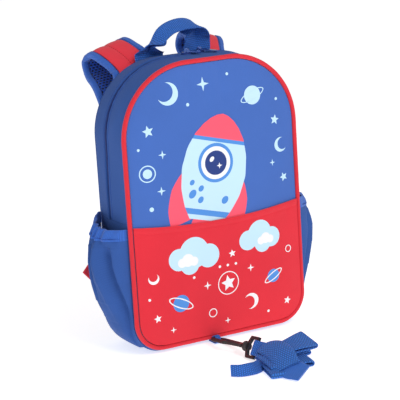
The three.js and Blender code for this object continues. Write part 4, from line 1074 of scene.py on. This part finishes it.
# %% A smooth line through places
def smooth_line(places, t):
    """Centripetal Catmull-Rom: on each span a cubic whose end slopes weigh the neighbouring spans
    by the square roots of their lengths."""
    p = np.asarray(places, float)
    p = np.concatenate([[2 * p[0] - p[1]], p, [2 * p[-1] - p[-2]]])
    at = np.clip(np.asarray(t) * (len(p) - 3), 0, len(p) - 3 - 1e-9)
    k = at.astype(int)
    w = (at - k)[:, None]
    p0, p1, p2, p3 = p[k], p[k + 1], p[k + 2], p[k + 3]
    d0, d1, d2 = (np.sqrt(np.linalg.norm(b - a, axis=1))[:, None] for a, b in ((p0, p1), (p1, p2), (p2, p3)))
    d1 = np.where(d1 < 1e-4, 1, d1)
    d0, d2 = np.where(d0 < 1e-4, d1, d0), np.where(d2 < 1e-4, d1, d2)
    m1 = ((p1 - p0) / d0 - (p2 - p0) / (d0 + d1) + (p2 - p1) / d1) * d1
    m2 = ((p2 - p1) / d1 - (p3 - p1) / (d1 + d2) + (p3 - p2) / d2) * d1
    return p1 + m1 * w + (-3 * p1 + 3 * p2 - 2 * m1 - m2) * w**2 + (2 * p1 - 2 * p2 + m1 + m2) * w**3


def direction_along(places, t):
    """The smooth line's own direction at each step t."""
    return unit(smooth_line(places, np.clip(t + 1e-4, 0, 1)) - smooth_line(places, np.clip(t - 1e-4, 0, 1)))


def stations(places, directions, count):
    """Places, a direction across and one through the strip, at even steps along a smooth line."""
    t = np.linspace(0, 1, count)
    p = smooth_line(places, t)
    along = direction_along(places, t)
    across = smooth_line(directions, t)
    across = unit(across - along * (across * along).sum(1, keepdims=True))
    return p, across, unit(np.cross(across, along)), lengths_along(p)


def strip_flat(a, s):
    """The cloth's own mm on a strip: a across it and s along it."""
    return np.stack([a + 0 * s[:, None], s[:, None] + 0 * a], -1)


def carried(p, across, through, a, b):
    """Section points: place plus a along the width and b through the thickness."""
    return p[:, None] + across[:, None] * a[..., None] + through[:, None] * b[..., None]

# %% [markdown]
# # Shoulder straps
# A strap is a long foam pad: red cloth on one face, blue air mesh on the other, a ribbed tape
# folded round each long edge and a line of stitching down the middle of the red face. It goes
# up from the back, folds over behind the bag and comes down again. All four layers are drawn
# along the same line, so they keep their places in the fold.

# %% The straps' line and their layers
STRAP_PLACES = np.array([
    (-46, 46.2, 270), (-46, 46.4, 284), (-47, 50, 298), (-52, 63, 308), (-58, 80, 314.5), (-59, 92, 311),
    (-59, 97, 302), (-59, 93, 292), (-58.5, 80, 281), (-58, 68, 268), (-57, 61, 248), (-56, 58, 215),
    (-56, 56, 175), (-60, 56, 148), (-68, 54, 128.4),
])
STRAP_ACROSS = np.array([
    (1, 0, 0.08), (0.97, 0.02, 0.24), (0.89, 0.06, 0.45), (0.93, 0.07, 0.36), (0.96, 0.08, 0.28),
    (0.96, 0.08, 0.28),
    (0.96, 0.08, 0.28), (0.96, 0.08, 0.27), (0.96, 0.08, 0.25), (0.98, 0.05, 0.18), (1, 0, 0.08), (1, 0, 0),
    (1, 0, -0.05), (0.95, 0, -0.3), (0.9, 0, -0.43),
])
STRAP_HALF, BINDING_WIDTH = 24.0, 7.0
FACE_HALF = STRAP_HALF - BINDING_WIDTH - 0.3


def layer(name, line_here, a, b_out, b_in, finish, slot, nodes):
    """A strip of a strap: b_out and b_in are its two faces over the width a and along the line."""
    p, across, through, s = line_here
    a = np.broadcast_to(a, (len(p), len(a)))
    outer, inner = carried(p, across, through, a, b_out), carried(p, across, through, a, b_in)
    return cloth_wall(name, outer, inner, strip_flat(a, s), finish, slot, nodes)


def taped_edge(name, line_here, turn, top, low, nodes):
    """Tape folded round the pad's edge: a rounded hook-shaped section carried along the strap."""
    p, across, through, s = line_here
    a = np.linspace(0, 2 * math.pi, 20, endpoint=False)
    width = BINDING_WIDTH / 2
    mid, half = (top + low) / 2, abs(top - low) / 2
    side = turn * (STRAP_HALF - width + width * np.sign(np.cos(a)) * np.abs(np.cos(a)) ** 0.62)
    rise = mid + (half + 0.5) * np.sign(np.sin(a)) * np.abs(np.sin(a)) ** 0.55
    side = np.broadcast_to(side, (len(p), 20)) + turn * 0.25 * np.sin(s / 4.1)[:, None]
    sections = carried(p, across, through, side, np.broadcast_to(rise, (len(p), 20)))
    flat = strip_flat(np.linspace(0, 24, 21)[None], s)
    return tube(name, sections, flat, binding_tape, "webbing_blue", nodes)


for sign, name in ((-1, "left"), (1, "right")):
    flip = np.array([-sign, 1, 1])
    here = stations(STRAP_PLACES * flip, STRAP_ACROSS * flip, 260)
    p, across, through, s = here
    facing = 1 if through[65, 2] > 0 else -1
    a = np.linspace(-FACE_HALF, FACE_HALF, 30)
    bend = np.abs(np.sin(math.pi * a / FACE_HALF)) ** 0.6
    waves = 0.25 * np.sin(s / 7.0)[:, None] * hill(np.abs(a) - FACE_HALF, 5)
    ends = np.clip(np.minimum(s, s[-1] - s) / 3, 0, 1)[:, None]
    top = 2.7 + 1.1 * bend * ends + waves - 0.5 * hill(a, 1.2)
    under = facing * SEAM_GAP
    face = layer(f"strap_face_{name}_cloth", here, a, facing * top, under + 0 * top, strap_cloth, "trim_red",
                 [f"strap_face_{name}"])
    low = 3.2 + 0.5 * bend * ends
    lining = layer(f"strap_lining_{name}_mesh", here, a, -facing * low, 0 * low - under, lining_mesh,
                   "mesh_blue", [f"strap_lining_{name}"])
    for turn, edge in ((-1, "outer"), (1, "inner")):
        taped_edge(f"strap_binding_{edge}_{name}_tape", here, turn, facing * 3.0, -facing * 3.2,
                   [f"strap_binding_{edge}_{name}"])
        seam = turn * (STRAP_HALF - BINDING_WIDTH + 1.1)
        row = p + across * seam + through * facing * 3.35
        stitches(f"strap_edge_stitches_{edge}_{name}", row, through * facing, 2.8, blue_thread, "webbing_blue",
                 2.1, 0.5)
    row = p + through * facing * 2.35
    stitches(f"strap_channel_stitches_{name}", row, through * facing, 3.0, red_thread, "trim_red", 2.3, 0.6)

# %% [markdown]
# # Grab handle
# The handle is webbing sewn flat to the back at both ends and folded lengthwise in between, so
# that from the front it is a channel: the left leg shows its outside, the right leg its inside
# with the crease. The fold opens and closes along the line by an angle from a short table.

# %% Handle
HANDLE = np.array([  # x, y, z, direction to the inside of the arch, fold in degrees
    (-28.6, 41.4, 284, 0, -1, 0, 0), (-28.6, 41.6, 308, 0, -1, 0, 0),
    (-28.1, 41.6, 313, -0.1, -1, 0, 48),
    (-26.6, 41, 318.5, -0.35, -0.93, 0, 78), (-23.5, 39.5, 325.5, 0.75, -0.65, -0.1, 76),
    (-17.7, 38.5, 333.7, 0.8, -0.1, -0.6, 52), (-6.9, 38, 339.6, 0.4, 0, -0.9, 44),
    (9.8, 38, 342.2, 0, 0, -1, 42), (22, 38.5, 338.8, -0.35, -0.3, -0.9, 46),
    (28.5, 40.8, 329.5, -0.25, -0.95, -0.2, 54), (28.5, 41.8, 319, 0, -1, 0, 24), (29, 41.4, 306, 0, -1, 0, 4),
    (29, 41.4, 284, 0, -1, 0, 0),
])
HANDLE_HALF, HANDLE_CLOTH = 17.0, 1.8
t = np.linspace(0, 1, 240)
p = smooth_line(HANDLE[:, :3], t)
along = direction_along(HANDLE[:, :3], t)
inside = smooth_line(HANDLE[:, 3:6], t)
inside = unit(inside - along * (inside * along).sum(1, keepdims=True))
across = unit(np.cross(along, inside))
fold = np.radians(np.interp(t * (len(HANDLE) - 1), np.arange(len(HANDLE)), HANDLE[:, 6]))[:, None]
a = np.linspace(-HANDLE_HALF, HANDLE_HALF, 31)[None]
bent = np.sqrt(a**2 + 1.2) - math.sqrt(1.2)
slope = a / np.sqrt(a**2 + 1.2)
edge_roll = 1 - 0.35 * np.clip((np.abs(a) - HANDLE_HALF + 1.2) / 1.2, 0, 1)
side, depth = a * np.cos(fold), bent * np.sin(fold)
normal_a, normal_b = -slope * np.sin(fold), np.cos(fold) + 0 * a
norm = np.hypot(normal_a, normal_b)
half = HANDLE_CLOTH / 2 * edge_roll
grids = [
    p[:, None] + across[:, None] * (side + k * half * normal_a / norm)[..., None]
    + inside[:, None] * (depth + k * half * normal_b / norm)[..., None] for k in (-1, 1)
]
flat = strip_flat(a, lengths_along(p))
cloth_wall("grab_handle_webbing", *grids, flat, handle_webbing, "webbing_blue", ["grab_handle"], crease=60)

# %% [markdown]
# # Lower strap ends
# At the end of each pad a short tab of narrow webbing holds a plain ladder lock, and a longer
# piece runs from it to a triangular wing that is sewn into the side seam. Both pieces of
# webbing are a hairpin round one bar of the lock, drawn as a flat strip along its own edge line.

# %% Frame of the ladder lock, as in the CAD model
BAR_AIR, NARROW_CLOTH = 0.3, 1.3
LOCK = {"x": 76.3, "y": 51.0, "z": 109.6, "lean": 24, "pitch": 8.5, "height": 22, "bar": 3.4, "thick": 3.2}


def lock_frame(sign):
    """The lock's own axes: across the webbing, up along it and to the front, leaned and pitched."""
    lean, pitch = math.radians(sign * LOCK["lean"]), math.radians(-LOCK["pitch"])
    axes = np.array([
        [math.cos(lean), 0, math.sin(lean)], [-math.sin(lean), 0, math.cos(lean)], [0, -1, 0],
    ])
    up_axis = axes[1] * math.cos(pitch) + axes[2] * math.sin(pitch)
    front_axis = -axes[1] * math.sin(pitch) + axes[2] * math.cos(pitch)
    return np.array([sign * LOCK["x"], LOCK["y"], LOCK["z"]]), axes[0], up_axis, front_axis


def stepped(path, count):
    """A plane line at even steps, its outward direction there and the distance run."""
    path, at = even_steps(path, count)
    along = unit(np.gradient(path, axis=0))
    return path, np.stack([along[:, 1], -along[:, 0]], -1), at


def narrow_webbing(name, line_here, half, columns, place, nodes, half_thick=0.62):
    """Webbing along a plane line, thinner in the last 1 mm of its width: place turns the line's two
    distances and the place across into x, y and z."""
    path, outward, s = line_here
    a = np.linspace(-half, half, columns)[None]
    thin = half_thick * (1 - 0.4 * np.clip(np.abs(a) - half + 1, 0, 1))
    grids = [place(path[:, None] + k * thin[..., None] * outward[:, None], a) for k in (1, -1)]
    cloth_wall(name, *grids, strip_flat(a, s), handle_webbing, "webbing_blue", nodes, crease=60)


def hairpin(radius, cloth_here, tail, count=90):
    """Both layers of a tongue round a bar: down one side, a round turn of more than half a circle,
    and back up; gives the middle line of the webbing and its outward direction."""
    middle = radius + cloth_here / 2
    close = cloth_here / 2 + 0.03
    turn = np.radians(np.linspace(-45, 225, 40))
    circle = np.stack([middle * np.cos(turn), middle * np.sin(turn)], -1)
    first = np.array([[close, -tail], [close, -middle - 2.2]])
    last = first[::-1] * [-1, 1]
    return stepped(np.concatenate([first, circle, last]), count)


def webbing_hairpin(name, sign, up_way, at_bar, tail, nodes):
    """A hairpin carried across the webbing's width; up_way is 1 for a tongue that hangs down."""
    origin, width_axis, up_axis, front_axis = lock_frame(sign)
    line_here = hairpin(math.hypot(LOCK["bar"], LOCK["thick"]) / 2 + BAR_AIR, NARROW_CLOTH, tail)

    def place(at, a):
        up_there = up_axis * (at_bar + up_way * at[..., 1:2])
        return origin + width_axis * a[..., None] + up_there + front_axis * at[..., 0:1]

    narrow_webbing(name, line_here, 10, 15, place, nodes)


WING = np.array([(84, 52), (101, 53), (126.5, 82.6), (101, 111), (84, 112)], float)
bar_height = LOCK["height"] / 2 - LOCK["bar"] / 2
for sign, name in ((-1, "left"), (1, "right")):
    webbing_hairpin(f"strap_tab_{name}_webbing", sign, -1, bar_height, 9.5, [f"strap_tab_{name}"])
    webbing_hairpin(f"strap_webbing_{name}_webbing", sign, 1, -bar_height, 38, [f"strap_webbing_{name}"])
    centre = np.array([98.0, 82.0])
    edge_line = polygon(WING, 140)
    share = np.linspace(0, 0.999, 24)[:, None]
    wx = sign * (edge_line[None, :, 0] * (1 - share) + centre[0] * share)
    wz = edge_line[None, :, 1] * (1 - share) + centre[1] * share
    rim = np.sqrt(1 - (1 - np.clip(share / 0.06, 0, 1)) ** 2)
    thick = 0.5 + 0.7 * rim - 0.35 * hill(share - 0.14, 0.02) + 0 * wx
    sides = [np.stack([wx, 41.0 + k * thick, wz], -1).transpose(1, 0, 2) for k in (1, -1)]
    flat = np.concatenate([np.stack([wx, wz], -1).transpose(1, 0, 2)] * 2)[: len(edge_line) + 1]
    cloth_wall(f"anchor_wing_{name}_cloth", *sides, flat, strap_cloth, "pocket_red",
               [f"anchor_wing_{name}"], ring=True)

# %% [markdown]
# # The folded leash
# The leash is one long piece of webbing, folded flat into a bundle in front of the bag. What
# shows are the top layers: a band that comes over the back of the bundle and down to the
# front, a flap under its end, two stacks of folds that stick out to the right, two flat stacks
# underneath, one more inside, and the free end, which lies on its edge. Each stack is a
# hairpin: one layer out, a turn, one back.

# %% Webbing laid along a line
def round_edged(thick, share):
    """Half the webbing's thickness at a share of the way to its edge."""
    return thick / 2 * np.sqrt(np.clip(1.02 - share**10, 0.03, 1))


def flat_webbing(name, places, directions, width, thick, nodes=(), count=90, dish=0.0, finish=None):
    """One layer of webbing: a strip with rounded edges, arched across by dish, less so at its end."""
    p, across, through, s = stations(np.array(places, float), np.array(directions, float), count)
    a = np.linspace(-width / 2, width / 2, 23)[None]
    share = np.abs(a) / (width / 2)
    half = round_edged(thick, share) + 0 * s[:, None]
    arch = dish * smooth(s[:, None] / s[-1], 1.25, 0.45)
    middle = arch * (share**2 - 0.4) + 0.25 * np.sin(s / 5.2 + 1)[:, None] * share**3
    a = a + 0 * s[:, None] + 0.2 * np.sin(s / 6.3)[:, None]
    outer = carried(p, across, through, a, middle + half)
    inner = carried(p, across, through, a, middle - half)
    return cloth_wall(name, outer, inner, strip_flat(a, s), finish or webbing, "webbing_blue", nodes, crease=60)


STACK_HALF, STACK_CLOTH = 12.4, 2.3


def folded_stack(name, places, directions, stack, nodes=()):
    """A hairpin of webbing: out along the lower side of the line, round the end and back above it."""
    p, across, through, s = stations(np.array(places, float), np.array(directions, float), 60)
    lift = np.sign(through[30, 2]) * through
    reach = (stack - STACK_CLOTH) / 2
    turn = np.linspace(-math.pi / 2, math.pi / 2, 15)[1:-1]
    along = unit(p[-1] - p[-4])
    bow = 0.35 * np.sin(np.linspace(0, math.pi, 60))[:, None]
    lower, upper = p - lift * reach, p + lift * (reach + bow)
    bend = p[-1] + along * reach * np.cos(turn)[:, None] + lift[-1] * reach * np.sin(turn)[:, None]
    path = np.concatenate([lower, bend, upper[::-1]])
    wide = np.concatenate([across, np.tile(across[-1], (len(turn), 1)), across[::-1]])
    along = unit(np.gradient(path, axis=0))
    out = unit(np.cross(wide, along))
    run_here = lengths_along(path)
    a = np.linspace(-STACK_HALF, STACK_HALF, 23)[None]
    share = np.abs(a) / STACK_HALF
    half = round_edged(STACK_CLOTH, share) + 0 * run_here[:, None]
    a = a + 0 * run_here[:, None]
    grids = [path[:, None] + wide[:, None] * a[..., None] + k * out[:, None] * half[..., None] for k in (1, -1)]
    return cloth_wall(name, *grids, strip_flat(a, run_here), webbing, "webbing_blue", nodes, crease=60)


folded_stack("leash_upper_webbing", [(8, -150, 16.6), (26, -145, 16.6), (44, -137, 15.6)],
             [(0.05, 1, 0.1), (0.08, 0.96, 0.25), (0.1, 0.91, 0.4)], 6.0, ["leash_fold_upper"])
folded_stack("leash_middle_webbing", [(3.5, -147, 9.8), (20, -143, 9.8), (34, -139, 9.3)],
             [(0.1, 0.99, 0.1), (0.05, 0.97, 0.2), (-0.05, 0.96, 0.25)], 5.8, ["leash_fold_middle"])
folded_stack("leash_lower_webbing", [(-7, -140, 3.4), (-12, -163, 3.4), (-17.5, -185, 3.4)],
             [(0.97, -0.22, 0), (0.97, -0.22, 0), (0.97, -0.22, 0)], 6.0, ["leash_fold_lower"])
folded_stack("leash_inner_webbing", [(-5, -131, 9.4), (-8, -150, 9.8), (-11, -174, 8.8)],
             [(0.95, -0.2, 0.12), (0.95, -0.2, 0.16), (0.95, -0.2, 0.2)], 5.6)
folded_stack("leash_right_webbing", [(3, -160, 4.1), (26, -162, 4.3)],
             [(-0.1, 0.99, 0.03), (-0.1, 0.99, 0.1)], 6.6, ["leash_fold_right"])
BAND = [
    (3, -122.5, 5), (1, -125.5, 13), (-1, -133, 18.4), (-3, -147, 19.6), (-6, -162, 17.6), (-9, -175, 13.7),
    (-11, -185, 9.7),
]
BAND_ACROSS = [
    (0.95, -0.15, 0.05), (0.95, -0.15, 0.1), (0.95, -0.12, 0.22), (0.92, -0.05, 0.36), (0.88, 0.08, 0.45),
    (0.82, 0.22, 0.52), (0.78, 0.31, 0.56),
]
flat_webbing("leash_band_webbing", BAND, BAND_ACROSS, 28, 2.6, ["leash_band"], dish=5.0, count=150)
FLAP = [(-8, -176, 11.2), (-8.5, -186, 8), (-5, -194, 6.8), (-1.5, -200, 5.8)]
FLAP_ACROSS = [(0.78, 0.31, 0.56), (0.76, 0.45, 0.5), (0.7, 0.6, 0.4), (0.67, 0.67, 0.33)]
flat_webbing("leash_flap_webbing", FLAP, FLAP_ACROSS, 26, 2.2, dish=0.5, finish=flap_webbing)
TAIL = [(-57, -150, 6.9), (-50, -156.5, 6.9), (-40, -158.5, 7.2), (-31, -155.6, 6.3), (-21.5, -149.2, 5.3)]
TAIL_ACROSS = [(0, -0.1, 1), (0, 0, 1), (0.05, 0.3, 0.95), (0.2, 0.65, 0.7), (0.3, 0.8, 0.5)]
flat_webbing("leash_tail_webbing", TAIL, TAIL_ACROSS, 13, 2.4, ["leash_tail"], finish=handle_webbing)

# %% [markdown]
# # Hook end of the leash
# The snap hook and its swivel are hard black plastic and stay as the CAD model has them. The
# webbing that passes through the swivel's eye and the small loop under the bag that the hook
# holds are drawn again as cloth.

# %% Leash end round the swivel's eye, and the loop under the base
HOOK = np.array([-13.5, -42.0, 4.9])
HOOK_AXIS = unit(np.array([0.065, -0.994, 0.1]))
EYE_BAR, EYE_HALF, EYE_WIRE, EYE_TILT = 77.0, 10.2, 3.4, 29
level = unit(np.cross([0, 0, 1], HOOK_AXIS))
tilt = math.radians(90 - EYE_TILT)
eye_across = level * math.cos(tilt) + np.cross(HOOK_AXIS, level) * math.sin(tilt)
eye_front = np.cross(HOOK_AXIS, eye_across)


def on_lead(at, a):
    down = HOOK + HOOK_AXIS * (EYE_BAR - at[..., 1:2])
    return down + eye_across * a[..., None] + eye_front * at[..., 0:1]


lead_line = hairpin(EYE_WIRE * math.sqrt(0.5) + BAR_AIR, NARROW_CLOTH, 21)
narrow_webbing("leash_lead_webbing", lead_line, EYE_HALF - EYE_WIRE / 2 - 0.5, 15, on_lead, ["leash_lead"])

# the loop: out under the seam, round the hook's nose and back, one layer over the other
LOOP_ROOT, LOOP_LOW, LOOP_LONG, LOOP_TALL, LOOP_CLOTH = -30.4, 0.25, 3.9, 3.25, 1.3
centre_y, centre_z = HOOK[1] - 0.7, HOOK[2]
join = LOOP_LOW + 1.5 * LOOP_CLOTH + 0.1
mid_y, mid_z = LOOP_LONG + LOOP_CLOTH / 2, LOOP_TALL + LOOP_CLOTH / 2
start_angle = math.asin((join - centre_z) / mid_z)
turn = np.linspace(start_angle, math.pi * 1.5, 60)
round_nose = np.stack([centre_y + mid_y * np.cos(turn), centre_z + mid_z * np.sin(turn)], -1)
path = np.concatenate([[[LOOP_ROOT, join]], round_nose, [[LOOP_ROOT, centre_z - mid_z]]])


def on_loop(at, a):
    return np.stack([HOOK[0] + 0.3 + a + 0 * at[..., 0], at[..., 0], at[..., 1]], -1)


narrow_webbing("tether_loop_webbing", stepped(path, 120), 3, 9, on_loop, ["tether_loop"], 0.6)

# %% [markdown]
# # Hard parts
# The hook, the swivel and the ladder locks are moulded black plastic: slightly rough, with a
# soft shine and a fine grain. The zip's sliders and pulls are cast metal under blue paint,
# which shines and is worn a little lighter here and there.

# %% Plastic and painted metal
grain_inputs = {"Place": (0, 0, 0), "Size": 900.0, "Base": 0.4, "Spread": 0.15}
grain_group, start, end = new_group("fine grain", grain_inputs, ["Rough", "Height"])
noise = place_noise(grain_group, start)
plug(grain_group, end.inputs["Height"], noise.outputs["Fac"])
rough = calc(grain_group, "MULTIPLY_ADD", noise.outputs["Fac"], start.outputs["Spread"], start.outputs["Base"])
plug(grain_group, end.inputs["Rough"], rough)


def hard(name, colour, base, size, relief, metallic=0.0, coat=0.0, wear=0.1):
    """Moulded plastic or painted metal: grain in the roughness and relief, wear clouds in the colour."""
    material, tree, shader = material_base(name, base)
    place = tree.nodes.new("ShaderNodeTexCoord").outputs["Object"]
    fine = add_group(tree, grain_group, Place=place, Size=size, Base=base, Spread=0.15)
    worn = {"Height": fine.outputs["Height"], "Gap": wear, "Cloud": wear, "Size": 220.0}
    shade = add_group(tree, shade_group, Place=place, **worn)
    dye(tree, shader, linear(*colour), shade.outputs[0])
    tree.links.new(fine.outputs["Rough"], shader.inputs["Roughness"])
    relief_bump(tree, shader, fine.outputs["Height"], relief)
    shader.inputs["Metallic"].default_value = metallic
    shader.inputs["Coat Weight"].default_value = coat
    return material


black_plastic = hard("black_plastic", (46, 40, 41), 0.34, 1400.0, 0.05)
slider_paint = hard("slider_paint", (96, 128, 204), 0.14, 500.0, 0.01, metallic=0.9, coat=0.6, wear=0.25)
for finish, painted in (
    (black_plastic, ("snap_hook", "hook_swivel", "strap_adjuster_left", "strap_adjuster_right")),
    (slider_paint, ("zip_slider_left", "zip_slider_right", "zip_pull_left", "zip_pull_right")),
):
    for node in painted:
        mesh = frame["nodes"][node].data
        mesh.materials.clear()
        mesh.materials.append(finish)
print("hard parts painted")

# %% [markdown]
# # Studio
# The picture is a plain catalogue shot: white all round, one large soft light above and in
# front, a weaker one from the left and hardly any shadow.

# %% Floor, lights and background
FLOOR_Z, FLOOR_GLOW, WORLD_LIGHT = -0.0002, 0.62, 0.42


def stage_floor():
    """A large pale floor, 0.2 mm under the bag."""
    mesh = bpy.data.meshes.new("floor")
    corners = [(x, y, FLOOR_Z) for x, y in ((-6, -6), (6, -6), (6, 6), (-6, 6))]
    mesh.from_pydata(corners, [], [(0, 1, 2, 3)])
    floor = add_object("floor", mesh)
    material, tree, shader = material_base("floor_white", 0.9)
    shader.inputs["Base Color"].default_value = (0.9, 0.9, 0.9, 1)
    shader.inputs["Emission Color"].default_value = (1, 1, 1, 1)
    shader.inputs["Emission Strength"].default_value = FLOOR_GLOW
    mesh.materials.append(material)
    floor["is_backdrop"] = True


def soft_light(name, place, target, size, power):
    data = bpy.data.lights.new(name, "AREA")
    data.shape, data.size, data.energy = "SQUARE", size, power
    lamp = add_object(name, data)
    away = unit(np.array(place, float) - np.array(target, float))
    side_way = unit(np.cross([0, 0, 1], away))
    over = np.cross(away, side_way)
    lamp.matrix_world = frame_matrix(side_way, over, away, place)


stage_floor()
soft_light("key", (0.25, -1.7, 1.5), (0, 0, 0.15), 1.1, 19)
soft_light("left_fill", (-1.8, -0.5, 0.9), (0, 0, 0.15), 1.2, 5)
world = bpy.data.worlds.new("studio")
world.use_nodes = True
background = world.node_tree.nodes["Background"]
background.inputs["Color"].default_value = (1, 1, 1, 1)
background.inputs["Strength"].default_value = WORLD_LIGHT
bpy.context.scene.world = world
bpy.context.scene.view_settings.view_transform = "Standard"

# %% [markdown]
# # Finish
# The boxes of the plain model and of the dressed one are printed side by side, so that they can be
# compared.

# %% Sizes of the plain and the dressed model
visual_box = [list(corner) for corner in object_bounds()]
for k, axis in enumerate("xyz"):
    sides = [np.round([box[0][k], box[1][k]], 4) for box in (cad_box, visual_box)]
    print(axis, "CAD", sides[0], "visual", sides[1])
